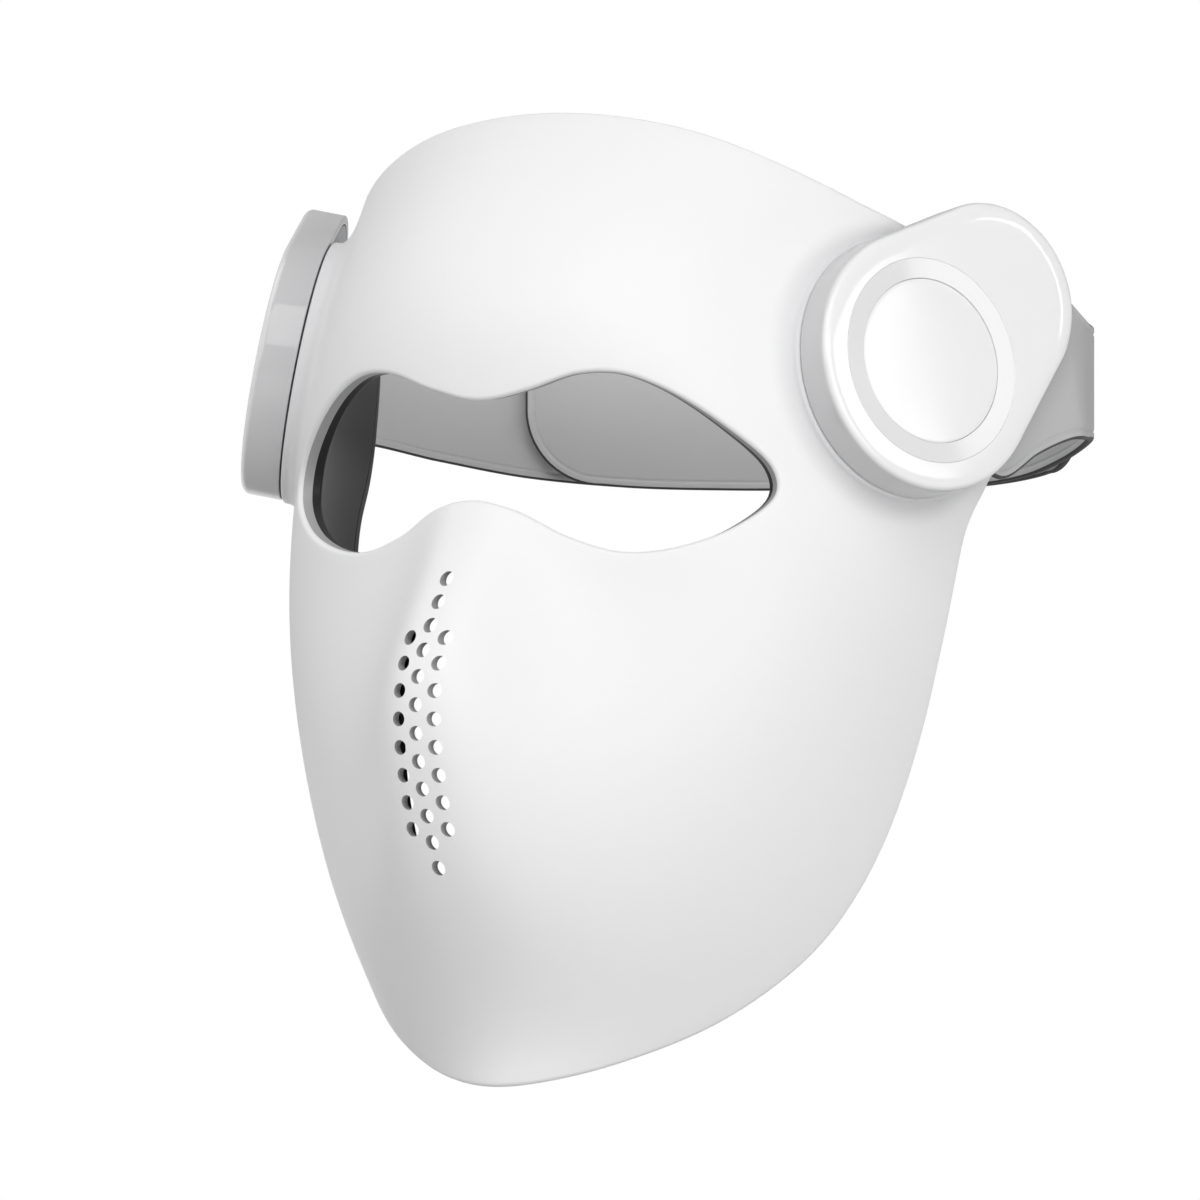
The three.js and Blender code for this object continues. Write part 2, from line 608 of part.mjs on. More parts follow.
function tangShape(sign, margin) {
  const points = tangShares.map(([along, across]) => new THREE.Vector2(
    STRAP_TANG_START + along * STRAP_TANG_LENGTH,
    sign * across * STRAP_ROOT_WIDTH,
  ));
  return new THREE.Shape(offsetLoop(points, margin));
}

// The cover: a hollow teardrop lid with a rounded top edge, a bore for the disc and a seat for the ring
function coverSolid(sign) {
  const high = COVER_TOP - COVER_EDGE;
  const low = SEAM - COVER_EDGE;
  let cover = solid(slab(podShape(0, sign), low, high, {
    ...podCurve,
    bevelEnabled: true,
    bevelThickness: COVER_EDGE,
    bevelSize: COVER_EDGE,
    bevelOffset: -COVER_EDGE,
    bevelSegments: EDGE_SEGMENTS,
  }));
  cover = cover.subtract(solid(slab(podShape(-OVERRUN, sign), -OVERRUN, SEAM, podCurve)));
  cover = cover.subtract(solid(slab(podShape(COVER_WALL, sign), -OVERRUN, COVER_INSIDE, podCurve)));
  for (const [x, y] of coverScrewPlaces(sign)) {
    const postLow = ARM_PLATE_TOP + CLEARANCE;
    cover = cover.add(solid(disc(POST_RADIUS, postLow, COVER_INSIDE + CLEARANCE, x, y, SMALL_STEPS)));
    cover = cover.subtract(solid(disc(SCREW_RADIUS + CLEARANCE, 0, COVER_INSIDE, x, y, SMALL_STEPS)));
  }
  cover = cover.subtract(solid(disc(COVER_BORE, 0, COVER_TOP + OVERRUN, 0, 0, ROUND_STEPS)));
  const seat = disc(RING_RADIUS + CLEARANCE, COVER_TOP - RING_SEAT, COVER_TOP + OVERRUN, 0, 0, ROUND_STEPS);
  cover = cover.subtract(solid(seat));
  const slot = slab(tangShape(sign, SLOT_MARGIN), TANG_LOW - CLEARANCE, TANG_TOP + CLEARANCE);
  return cover.subtract(solid(slot));
}

function screwGeometry(headLow, shankTop, x, y) {
  const headTop = headLow + SCREW_HEAD_HEIGHT;
  const profile = [
    [0, headLow], [SCREW_HEAD_RADIUS, headLow], [SCREW_HEAD_RADIUS, headTop],
    [SCREW_RADIUS, headTop], [SCREW_RADIUS, shankTop], [0, shankTop],
  ];
  return turned(profile, SMALL_STEPS).translate(x, y, 0);
}

// The disc in the cover's bore: a skirt slides on the hub and a stem reaches for the switch
function discGeometry() {
  const skirtInner = HUB_RADIUS + CLEARANCE;
  const skirtOuter = skirtInner + SKIRT_WALL;
  const profile = [
    [0, STEM_LOW], [STEM_RADIUS, STEM_LOW], [STEM_RADIUS, DISC_LOW], [skirtInner, DISC_LOW],
    [skirtInner, SKIRT_LOW], [skirtOuter, SKIRT_LOW], [skirtOuter, DISC_LOW], [DISC_RADIUS, DISC_LOW],
    [DISC_RADIUS, DISC_TOP - DISC_EDGE], [DISC_RADIUS - DISC_EDGE, DISC_TOP], [0, DISC_TOP],
  ];
  return turned(profile, ROUND_STEPS);
}

function addPod(group, name, sign) {
  const ringLow = COVER_TOP - RING_SEAT + CLEARANCE;
  const plate = podShape(COVER_WALL + CLEARANCE, sign);

  const base = [
    [HUB_BORE, BASE_LOW], [BASE_RADIUS, BASE_LOW], [BASE_RADIUS, BASE_TOP], [HUB_RADIUS, BASE_TOP],
    [HUB_RADIUS, HUB_HEIGHT], [LEAD_HOLE, HUB_HEIGHT], [LEAD_HOLE, HUB_HEIGHT - BASE_THICKNESS],
    [HUB_BORE, HUB_HEIGHT - BASE_THICKNESS],
  ];
  place(group, `${name}_pod_base`, turned(base, ROUND_STEPS), silver);
  const snap = ringProfile(HUB_HOLE, HUB_HOLE + SNAP_RING_WIDTH, SNAP_LOW, SNAP_TOP);
  place(group, `${name}_snap_ring`, turned(snap, ROUND_STEPS / 2), steel);

  let arm = solid(slab(plate, ARM_PLATE_LOW, ARM_PLATE_TOP, podCurve));
  arm = arm.subtract(solid(disc(HUB_HOLE, 0, ARM_PLATE_TOP + OVERRUN, 0, 0, ROUND_STEPS)));
  const clamps = clampScrewShares.map((share) => [CLAMP_PLACE, sign * share * STRAP_ROOT_WIDTH]);
  for (const [x, y] of [...coverScrewPlaces(sign), ...clamps]) {
    const sink = ARM_PLATE_LOW + SCREW_HEAD_HEIGHT + SCREW_SINK;
    arm = arm.subtract(solid(disc(SCREW_RADIUS + CLEARANCE, 0, OVERRUN, x, y, SMALL_STEPS)));
    arm = arm.subtract(solid(disc(SCREW_HEAD_RADIUS + CLEARANCE, 0, sink, x, y, SMALL_STEPS)));
  }
  place(group, `${name}_arm_plate`, geometryOf(arm), silver);
  let cover = coverSolid(sign);
  if (name === 'right') cover = cover.subtract(socketHole(sign));
  place(group, `${name}_cover`, geometryOf(cover), white);

  const ring = [
    [COVER_BORE, ringLow], [RING_RADIUS, ringLow], [RING_RADIUS, COVER_TOP],
    [COVER_BORE, COVER_TOP - RING_DROP],
  ];
  place(group, `${name}_trim_ring`, turned(ring, ROUND_STEPS), white);

  const headLow = ARM_PLATE_LOW + SCREW_SINK / 2;
  coverScrewPlaces(sign).forEach(([x, y], i) => {
    const shankTop = COVER_INSIDE - POST_RADIUS;
    place(group, `${name}_cover_screw_${i + 1}`, screwGeometry(headLow, shankTop, x, y), steel);
  });

  let tang = solid(slab(tangShape(sign, 0), TANG_LOW, TANG_TOP));
  let clamp = solid(new THREE.BoxGeometry(CLAMP_WIDTH, STRAP_ROOT_WIDTH * CLAMP_LENGTH_SHARE, CLAMP_THICKNESS)
    .translate(CLAMP_PLACE, sign * CLAMP_CENTRE_SHARE * STRAP_ROOT_WIDTH, (CLAMP_LOW + CLAMP_TOP) / 2));
  clamps.forEach(([x, y], i) => {
    const hole = solid(disc(SCREW_RADIUS + CLEARANCE, 0, OVERRUN, x, y, SMALL_STEPS));
    tang = tang.subtract(hole);
    clamp = clamp.subtract(hole);
    place(group, `${name}_clamp_screw_${i + 1}`, screwGeometry(headLow, CLAMP_TOP, x, y), steel);
  });
  place(group, `${name}_strap_tang`, geometryOf(tang), grey);
  place(group, `${name}_strap_clamp`, geometryOf(clamp), steel);
}

// Left pod: the power button over its switch, and the control board round the hub
function addLeftInsides(group) {
  place(group, 'power_button', discGeometry(), white);
  const body = new THREE.BoxGeometry(SWITCH_SIZE, SWITCH_SIZE, SWITCH_HEIGHT);
  place(group, 'power_switch', body.translate(0, 0, (SWITCH_LOW + SWITCH_TOP) / 2), dark);
  const low = BASE_TOP + CLEARANCE;
  const high = low + BOARD_THICKNESS;
  const outline = ringProfile(HUB_HOLE, BASE_RADIUS - CLEARANCE, low, high);
  let board = solid(turned(outline, ROUND_STEPS));
  const reach = (HUB_HOLE + BASE_RADIUS) / 2;
  for (const turnShare of chipTurnShares) {
    const angle = turnShare * 2 * HALF_TURN;
    const chip = new THREE.BoxGeometry(CHIP_SIZE, CHIP_SIZE, CHIP_HEIGHT + CLEARANCE);
    chip.translate(reach * Math.cos(angle), reach * Math.sin(angle), high + (CHIP_HEIGHT - CLEARANCE) / 2);
    board = board.add(solid(chip));
  }
  place(group, 'control_board', geometryOf(board), green);
}

// The charging socket: a tube with a back wall, set in the wall of the lug and pointing out of it
function socketBlock(sign, length, height, depth, setback) {
  const heading = sign * THREE.MathUtils.degToRad(SOCKET_HEADING);
  const axis = new THREE.Vector3(Math.cos(heading), Math.sin(heading), 0);
  const up = new THREE.Vector3(0, 0, 1);
  const frame = new THREE.Matrix4().makeBasis(up.clone().cross(axis), up, axis);
  const centre = new THREE.Vector3(LUG_BACK, sign * LUG_UP, ARM_PLATE_TOP + CLEARANCE + SOCKET_HEIGHT / 2);
  frame.setPosition(centre.addScaledVector(axis, LUG_RADIUS - setback - depth / 2));
  return solid(new THREE.BoxGeometry(length, height, depth), frame);
}

function socketHole(sign) {
  const depth = SOCKET_DEPTH + OVERRUN;
  return socketBlock(sign, SOCKET_LENGTH + 2 * CLEARANCE, SOCKET_HEIGHT + 2 * CLEARANCE, depth, -OVERRUN);
}

// Right pod: a plain cap instead of the button, the battery and the charging socket in the lug
function addRightInsides(group, sign) {
  place(group, 'right_cap', discGeometry(), white);
  const cell = new THREE.BoxGeometry(BATTERY_LENGTH, BATTERY_WIDTH, BATTERY_HEIGHT);
  const level = ARM_PLATE_TOP + CLEARANCE + BATTERY_HEIGHT / 2;
  place(group, 'battery', cell.translate(BATTERY_BACK, sign * BATTERY_UP, level), silver);
  const bodyOf = socketBlock(sign, SOCKET_LENGTH, SOCKET_HEIGHT, SOCKET_DEPTH, SOCKET_SETBACK);
  const hollow = SOCKET_WALL + SOCKET_WALL;
  const mouth = SOCKET_DEPTH - SOCKET_WALL + SOCKET_SETBACK;
  const bore = socketBlock(sign, SOCKET_LENGTH - hollow, SOCKET_HEIGHT - hollow, mouth, 0);
  place(group, 'charge_socket', geometryOf(bodyOf.subtract(bore)), steel);
}

// The strap: a band swept along the loop, from the tang of its own pod to its free end
function strapKnots(group, sign, extra) {
  const start = new THREE.Vector3(
    STRAP_TANG_START + STRAP_TANG_LENGTH + STRAP_JOINT_GAP,
    sign * STRAP_START_SHARE * STRAP_ROOT_WIDTH,
    (TANG_LOW + TANG_TOP) / 2,
  ).applyMatrix4(group.matrixWorld);
  const knots = [{ point: start, half: strapStartShare * STRAP_ROOT_WIDTH }];
  for (const [out, back, rise, half] of strapShares) {
    const y = start.y + back * (STRAP_REACH - start.y);
    const point = new THREE.Vector3(out * start.x, y, rise * STRAP_ROOT_WIDTH);
    knots.push({ point, half: half * STRAP_ROOT_WIDTH });
  }
  const middle = knots.length - 1;
  for (let i = 1; i <= extra; i += 1) {
    const twin = knots[middle - i];
    knots.push({ point: twin.point.clone().setX(-twin.point.x), half: twin.half });
  }
  return knots;
}

function strapStations(group, knots, shift) {
  const curve = new THREE.CatmullRomCurve3(knots.map((knot) => knot.point));
  const halves = new THREE.SplineCurve(knots.map((knot, i) => new THREE.Vector2(i, knot.half)));
  const podUp = new THREE.Vector3(0, 1, 0).transformDirection(group.matrixWorld);
  if (podUp.z < 0) podUp.negate();
  const count = (knots.length - 1) * STATIONS_PER_KNOT;
  const total = curve.getLength();
  const stations = [];
  for (let i = 0; i <= count; i += 1) {
    const u = i / count;
    const tangent = curve.getTangent(u);
    const settled = THREE.MathUtils.smoothstep(i / STATIONS_PER_KNOT, 0, SETTLE_KNOTS);
    const up = podUp.clone().lerp(new THREE.Vector3(0, 0, 1), settled).normalize();
    const normal = tangent.clone().cross(up).normalize();
    const centre = curve.getPoint(u).addScaledVector(normal, -shift * settled);
    stations.push({ centre, up, normal, half: halves.getPoint(u).y, left: total * (1 - u) });
  }
  return stations;
}

// The free end has round corners: the band narrows over its last stretch
function roundedHalf(station, radius) {
  const into = Math.max(radius - station.left, 0);
  return station.half - radius + Math.sqrt(Math.max(radius ** 2 - into ** 2, 0));
}

function bandGeometry(stations, thickness, radius) {
  const face = (depth) => [-1, 1].map((edge) => stations.map((station) => station.centre.clone()
    .addScaledVector(station.up, edge * roundedHalf(station, radius))
    .addScaledVector(station.normal, depth)));
  return closedSkin(face(thickness / 2), face(-thickness / 2));
}

function addStraps(leftPod, rightPod) {
  const shift = STRAP_THICKNESS / 2 + PATCH_THICKNESS + PATCH_GAP * 3 / 2;
  const left = strapStations(leftPod, strapKnots(leftPod, 1, LEFT_EXTRA_KNOTS), shift);
  const right = strapStations(rightPod, strapKnots(rightPod, -1, RIGHT_EXTRA_KNOTS), shift);
  place(mask, 'left_strap', bandGeometry(left, STRAP_THICKNESS, STRAP_END_RADIUS), grey);
  place(mask, 'right_strap', bandGeometry(right, STRAP_THICKNESS, STRAP_END_RADIUS), grey);
  const patch = (stations, outward) => {
    const kept = stations.filter((station) => Math.abs(station.centre.x) < PATCH_HALF_SPAN);
    const lift = outward * ((STRAP_THICKNESS + PATCH_THICKNESS) / 2 + PATCH_GAP);
    return kept.map((station) => ({
      ...station,
      centre: station.centre.clone().addScaledVector(station.normal, lift),
      half: station.half - PATCH_MARGIN,
    }));
  };
  place(mask, 'hook_patch', bandGeometry(patch(left, 1), PATCH_THICKNESS, 0), dark);
  place(mask, 'loop_patch', bandGeometry(patch(right, 1), PATCH_THICKNESS, 0), dark);
}

const leftPod = podGroup(1);
const rightPod = podGroup(-1);
addFace([leftPod, rightPod]);
for (const [name, strip] of Object.entries(lightStripShares)) addLights(name, strip);
addLead('left_lead', 1);
addLead('right_lead', -1);
addPod(leftPod, 'left', 1);
addPod(rightPod, 'right', -1);
addLeftInsides(leftPod);
addRightInsides(rightPod, -1);
addStraps(leftPod, rightPod);

export default mask;
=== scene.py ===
# %% [markdown]
# # A light-therapy face mask, dressed in Blender
# The mask is a white shell over a dark smoked liner, with a round pod at each temple and a soft grey
# band round the head. Its solids come from the frame. The cells below replace those that show most
# with finer skins of the same size, and give the others a better finish. All lengths are in metres.

# %% Load the frame
import json
import math

import bpy
import numpy as np
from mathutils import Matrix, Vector
from mathutils.geometry import delaunay_2d_cdt


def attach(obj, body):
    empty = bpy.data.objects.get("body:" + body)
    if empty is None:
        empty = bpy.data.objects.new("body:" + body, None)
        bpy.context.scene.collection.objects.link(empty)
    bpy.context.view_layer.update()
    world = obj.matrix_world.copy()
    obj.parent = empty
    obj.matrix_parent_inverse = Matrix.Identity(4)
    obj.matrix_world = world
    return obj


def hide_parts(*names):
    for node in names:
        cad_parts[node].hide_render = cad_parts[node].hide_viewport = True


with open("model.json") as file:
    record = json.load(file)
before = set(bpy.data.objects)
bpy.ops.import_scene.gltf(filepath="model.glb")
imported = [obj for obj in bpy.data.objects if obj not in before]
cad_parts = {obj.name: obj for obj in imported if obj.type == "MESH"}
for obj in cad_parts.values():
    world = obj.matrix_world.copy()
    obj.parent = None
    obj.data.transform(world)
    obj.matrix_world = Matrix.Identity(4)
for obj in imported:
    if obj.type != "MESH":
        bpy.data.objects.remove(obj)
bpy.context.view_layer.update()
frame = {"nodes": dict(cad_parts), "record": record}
scene = bpy.context.scene

# %% [markdown]
# ## Camera
# The product was taken level, from its left front, with a long lens, so that parallel edges stay
# parallel. A camera five metres away with a narrow field does the same.

# %% Camera
VIEW_TURN = math.radians(29)
VIEW_DISTANCE = 5.0
VIEW_END = 50
FRAME_WIDTH = 0.2778
AIM_RIGHT = -0.0011
AIM_HEIGHT = -0.0531


def add_object(name, data):
    """A new object of a mesh, lamp or camera, linked to the scene."""
    made = bpy.data.objects.new(name, data)
    scene.collection.objects.link(made)
    return made


def look_along(thing, way):
    """Turns a camera or lamp, which look down their own -Z, along a way."""
    thing.rotation_mode = "QUATERNION"
    thing.rotation_quaternion = way.to_track_quat("-Z", "Y")


toward_camera = Vector((math.sin(VIEW_TURN), -math.cos(VIEW_TURN), 0))
view_right = Vector((math.cos(VIEW_TURN), math.sin(VIEW_TURN), 0))
aim = view_right * AIM_RIGHT + Vector((0, 0, AIM_HEIGHT))
lens = bpy.data.cameras.new("camera")
lens.lens = lens.sensor_width * VIEW_DISTANCE / FRAME_WIDTH
lens.clip_end = VIEW_END
camera = add_object("camera", lens)
camera.location = aim + toward_camera * VIEW_DISTANCE
look_along(camera, -toward_camera)
scene.camera = camera
scene.view_settings.view_transform = "Standard"
print("lens", round(lens.lens), "mm")

# %% [markdown]
# ## Nodes
# The finishes, the white world and the trees that repeat a shape are all made of nodes. One helper
# makes a node, sets it and feeds its sockets, so that a tree reads from its inputs to its result.


# %% Node helpers
def feed(tree, socket, source):
    """Gives a socket a value, or the output that it follows."""
    if isinstance(source, bpy.types.NodeSocket):
        tree.links.new(source, socket)
    else:
        socket.default_value = source


def add_node(tree, kind, sockets=None, **settings):
    """A node with its settings, and with its sockets fed by name or by number."""
    node = tree.nodes.new(kind)
    for key, value in settings.items():
        setattr(node, key, value)
    for key, source in (sockets or {}).items():
        feed(tree, node.inputs[key], source)
    return node


def number(tree, operation, *sources):
    """The result of a Math node."""
    node = add_node(tree, "ShaderNodeMath", dict(enumerate(sources)), operation=operation)
    return node.outputs["Value"]


def vector(tree, operation, *sources):
    """The result of a Vector Math node, which for a length or a dot product is a number."""
    node = add_node(tree, "ShaderNodeVectorMath", dict(enumerate(sources)), operation=operation)
    return node.outputs["Value" if operation in ("LENGTH", "DOT_PRODUCT") else "Vector"]


def ranged(tree, value, source=(0, 1), target=(0, 1), **settings):
    """A value carried from one range to another."""
    ends = {"From Min": source[0], "From Max": source[1], "To Min": target[0], "To Max": target[1]}
    return add_node(tree, "ShaderNodeMapRange", {"Value": value, **ends}, **settings).outputs["Result"]


# %% [markdown]
# ## Material helpers
# A flat colour looks like paper. Real mouldings, metals and boards have a fine grain, and their
# polish and colour drift a little from place to place. Each finish of the mask adds one or more of
# these by noise on Object coordinates, which stay with the piece when it moves.


# %% Material helpers
def shader_inputs(material):
    return material.node_tree.nodes["Principled BSDF"].inputs


def object_noise(tree, scale, detail=3.0):
    place = add_node(tree, "ShaderNodeTexCoord")
    noise = add_node(tree, "ShaderNodeTexNoise", {
        "Vector": place.outputs["Object"], "Scale": scale, "Detail": detail,
    })
    return noise.outputs["Fac"]


def between_colours(tree, mask, first, second):
    """A colour between two, by a mask. Each is a colour with its alpha, or an output."""
    mix = add_node(tree, "ShaderNodeMix", {"Factor": mask}, data_type="RGBA")
    ends = [socket for socket in mix.inputs if socket.type == "RGBA"]
    feed(tree, ends[0], first)
    feed(tree, ends[1], second)
    return [socket for socket in mix.outputs if socket.type == "RGBA"][0]


def finish(name, colour, roughness, shine=0.5, metal=0.0, grain=None, polish=None, tints=None):
    """A material. grain is (scale, depth in metres, detail), polish is (scale, least roughness,
    most roughness), and tints is (scale, darkest colour, lightest colour)."""
    made = bpy.data.materials.new(name)
    made.use_nodes = True
    tree, shader = made.node_tree, shader_inputs(made)
    shader["Base Color"].default_value = (*colour, 1)
    shader["Roughness"].default_value = roughness
    shader["Specular IOR Level"].default_value = shine
    shader["Metallic"].default_value = metal
    if grain:
        scale, depth, detail = grain
        height = object_noise(tree, scale, detail)
        bump = add_node(tree, "ShaderNodeBump", {"Height": height, "Strength": 1.0, "Distance": depth})
        feed(tree, shader["Normal"], bump.outputs["Normal"])
    if polish:
        scale, *ends = polish
        feed(tree, shader["Roughness"], ranged(tree, object_noise(tree, scale), target=ends))
    if tints:
        scale, dark, light = tints
        mixed = between_colours(tree, object_noise(tree, scale), (*dark, 1), (*light, 1))
        feed(tree, shader["Base Color"], mixed)
    return made


# %% [markdown]
# ## The pod frames
# Each pod turns on an axis that toes in and cants up. Its own frame has x rearwards, y up and z
# outwards along the pivot. The right pod is the mirror image of the left one.

# %% Pod frames
SIDES = {"left": 1, "right": -1}
PIVOT_HALF_SPAN = 0.079
TOE_IN, CANT = math.radians(24), math.radians(11)
pod_out = (math.cos(CANT) * math.cos(TOE_IN), -math.cos(CANT) * math.sin(TOE_IN), math.sin(CANT))


def pod_axes(side):
    """The ways back, up and out of a pod, as rows."""
    back, out = np.array([math.sin(TOE_IN), math.cos(TOE_IN), 0]), np.array(pod_out)
    return np.stack([back, np.cross(out, back), out]) * (side, 1, 1)


def from_pod(points, side):
    """Places given as [back, up, out] of a pod's pivot, in the object's frame."""
    return np.asarray(points, float) @ pod_axes(side) + (side * PIVOT_HALF_SPAN, 0, 0)


def to_pod(points, side):
    return (np.asarray(points, float) - (side * PIVOT_HALF_SPAN, 0, 0)) @ pod_axes(side).T


def pod_level(outline, height, side):
    """An outline of [back, up] pairs, at a height of a pod, in the object's frame."""
    return from_pod(np.column_stack([outline, np.full(len(outline), height)]), side)


print("left pivot axis", pod_axes(1)[2].round(5))

# %% [markdown]
# ## Painted shade round the pods
# The foot of each boss and the side wall and rounded edge of each cover are painted greyer than
# the faces, as painted shade where they would lie in soft shadow. The colour eases over by a
# measure of the pod: the height above its pivot plane, or the distance from its axis.


# %% Shading by the pod
def pod_measures(tree):
    """The height above a pod's pivot plane and the distance from its axis, on either side."""
    place = add_node(tree, "ShaderNodeTexCoord")
    split = add_node(tree, "ShaderNodeSeparateXYZ", {0: place.outputs["Object"]}).outputs
    join = add_node(tree, "ShaderNodeCombineXYZ", {
        "X": number(tree, "ABSOLUTE", split["X"]), "Y": split["Y"], "Z": split["Z"],
    })
    reach = vector(tree, "SUBTRACT", join.outputs[0], (PIVOT_HALF_SPAN, 0, 0))
    sideways = vector(tree, "CROSS_PRODUCT", reach, pod_out)
    return {"height": vector(tree, "DOT_PRODUCT", reach, pod_out), "radius": vector(tree, "LENGTH", sideways)}


def shade_by(material, measure, start, end, colour):
    """Eases the base colour to another one as a measure of the pod goes from start to end."""
    tree, base = material.node_tree, shader_inputs(material)["Base Color"]
    source, target = sorted((start, end)), (float(start > end), float(start < end))
    mask = ranged(tree, pod_measures(tree)[measure], source, target, interpolation_type="SMOOTHSTEP")
    usual = base.links[0].from_socket if base.links else tuple(base.default_value)
    feed(tree, base, between_colours(tree, mask, usual, (*colour, 1)))


# %% [markdown]
# ## Finishes of the mouldings
# The shell is a satin white moulding and the pods are glossy white, so the shell's highlights are
# broad and soft while the pods mirror the lamps. The liner is smoked and nearly black.

# %% Finishes of the mouldings
# Painted shade: grey eased into each boss wall and foot, and into each cover's edge and side.
BOSS_SHADE, BOSS_SHADE_OUT, BOSS_SHADE_IN = (0.77, 0.77, 0.78), 0.0365, 0.0312
SIDE_SHADE, SIDE_SHADE_TOP, SIDE_SHADE_LOW = (0.6, 0.6, 0.61), 0.0096, 0.0082

satin_white = finish(
    "satin_white_plastic", (0.89, 0.89, 0.89), 0.36, shine=0.12, grain=(2600, 0.000004, 3),
    polish=(60, 0.33, 0.4), tints=(9, (0.885, 0.885, 0.887), (0.9, 0.9, 0.9)),
)
shade_by(satin_white, "radius", BOSS_SHADE_OUT, BOSS_SHADE_IN, BOSS_SHADE)


def gloss_finish(name, level):
    """The glossy white of the pods, at a base level."""
    return finish(name, (level, level, level), 0.07, grain=(900, 0.000001, 3), polish=(45, 0.06, 0.085))


gloss_white = gloss_finish("gloss_white_plastic", 0.89)
# The ring's gloss white is painted darker, as painted shade for its dished slope.
gloss_ring_painted_shade = gloss_finish("gloss_ring_plastic", 0.8)
gloss_cover = gloss_finish("gloss_cover_plastic", 0.89)
shade_by(gloss_cover, "height", SIDE_SHADE_TOP, SIDE_SHADE_LOW, SIDE_SHADE)
# Painted shade: the walls of the breathing holes and of the eye opening are painted mid grey.
hole_painted_shade = finish("hole_wall_plastic", (0.42, 0.42, 0.425), 0.5, grain=(1800, 0.000006, 3))
liner_smoke = finish(
    "smoked_liner_plastic", (0.032, 0.032, 0.034), 0.4, shine=0.12, grain=(1800, 0.000006, 3),
    tints=(25, (0.029, 0.029, 0.031), (0.036, 0.036, 0.038)),
)
mouldings = (satin_white, gloss_white, gloss_ring_painted_shade, gloss_cover, hole_painted_shade, liner_smoke)
print("mouldings", [material.name for material in mouldings])

# %% [markdown]
# ## Finishes of the band
# The band is a matt grey elastomer. Its inner face is painted paler, as painted light for the lamp
# light that the inside of the mask lacks, and its cut edges all round are painted dark, as painted
# shade. The pile of its hook and loop patches is so rough that no highlight shows on it.

# %% Finishes of the band
band_grey = finish(
    "matt_band_elastomer", (0.5, 0.5, 0.505), 0.5, shine=0.15, grain=(3200, 0.00001, 6),
    tints=(40, (0.49, 0.49, 0.495), (0.51, 0.51, 0.515)),
)
# Painted light: the band's inner face is painted paler than its grey outside.
band_inside_painted_light = finish(
    "matt_band_lining", (0.82, 0.82, 0.825), 0.55, shine=0.15,
    tints=(40, (0.8, 0.8, 0.805), (0.835, 0.835, 0.84)),
)
# Painted shade: the band's cut edges are painted dark.
band_edge_painted_shade = finish(
    "matt_band_edge", (0.1, 0.1, 0.102), 0.6, shine=0.1,
    tints=(40, (0.094, 0.094, 0.096), (0.108, 0.108, 0.11)),
)
pile_dark = finish("hook_and_loop_pile", (0.05, 0.05, 0.055), 0.9, grain=(1500, 0.00012, 8))
print("band", [material.name for material in (band_grey, band_inside_painted_light, band_edge_painted_shade, pile_dark)])

# %% [markdown]
# ## Finishes of the parts inside
# Boards, metal and inner plastics hardly show, but they are seen when the mask is taken apart. Each
# solid of the frame gets the finish that its slot names, and the two patches then get the pile.

# %% Finishes of the parts inside
circuit_amber = finish(
    "flexible_circuit", (0.45, 0.26, 0.08), 0.4, tints=(160, (0.36, 0.2, 0.06), (0.5, 0.3, 0.1)),
)
board_green = finish(
    "circuit_board", (0.03, 0.16, 0.07), 0.45, tints=(220, (0.02, 0.12, 0.05), (0.04, 0.2, 0.09)),
)
plain_steel = finish("plain_steel", (0.6, 0.6, 0.62), 0.3, metal=1.0, polish=(300, 0.24, 0.38))
cell_silver = finish("cell_foil", (0.62, 0.64, 0.67), 0.35, metal=0.8, grain=(350, 0.00008, 3))
inner_grey = finish("inner_plastic", (0.5, 0.51, 0.53), 0.4, grain=(1200, 0.00001, 3))
dark_plastic = finish("dark_plastic", (0.04, 0.04, 0.045), 0.45, grain=(1200, 0.00001, 3))

slot_finish = {
    "shell": gloss_white, "liner": liner_smoke, "inner": inner_grey, "circuit": circuit_amber,
    "board": board_green, "steel": plain_steel, "cell": cell_silver, "strap": band_grey, "dark": dark_plastic,
}
for part in frame["record"]["subparts"]:
    solid = frame["nodes"][part["node"]]
    solid.data.materials.clear()
    solid.data.materials.append(slot_finish[part["material_slot"]])
for name in ("hook_patch", "loop_patch"):
    frame["nodes"][name].data.materials[0] = pile_dark

# %% [markdown]
# ## The face form
# The face is a family of smooth curves, one for each level, from the midplane to the rear edge.
# Tables give their front, rear, width and fullness from below the chin to the hairline, and a
# nose ridge stands on them. The same rule shapes the solids, so the skin here lies on them.

# %% The tables of the face
SHELL_HEIGHT = 0.226
SHELL_HALF_WIDTH = 0.086
SHELL_DEPTH = 0.119
PIVOT_SETBACK = 0.089
EYE_LINE_DROP = 0.0253
face_rows = {
    "front": (0.47, 0.34, 0.21, 0.2, 0.27, 0.27, 0.2, 0.46, 0.82, 1.19),
    "rear": (0.84, 0.87, 0.89, 0.91, 0.92, 0.97, 1.03, 1.06, 1.08, 1.13),
    "width": (0.45, 0.63, 0.8, 0.89, 0.96, 0.99, 0.985, 0.93, 0.86, 0.79),
    "fullness": (0.31, 0.41, 0.55, 0.69, 0.81, 0.77, 0.64, 0.52, 0.43, 0.37),
    "temple": (0.41, 0.43, 0.46, 0.49, 0.53, 0.53, 0.5, 0.47, 0.46, 0.46),
    "flare": (0.25, 0.17, 0.09, 0.06, 0.08, 0.24, 0.38, 0.46, 0.49, 0.51),
}
FACE_START, FACE_STEP = -0.779, 0.1593
RIDGE_HEIGHT, RIDGE_HALF_WIDTH, RIDGE_POWER = 0.032, 0.03, 3
ridge_rows = {
    "height": (0, 0.04, 0.42, 0.73, 1, 0.46, 0, 0, 0, 0),
    "width": (1, 0.93, 0.87, 0.8, 0.63, 0.5, 0.43, 0.43, 0.43, 0.43),
}
RIDGE_START, RIDGE_STEP = -0.6195, 0.1062


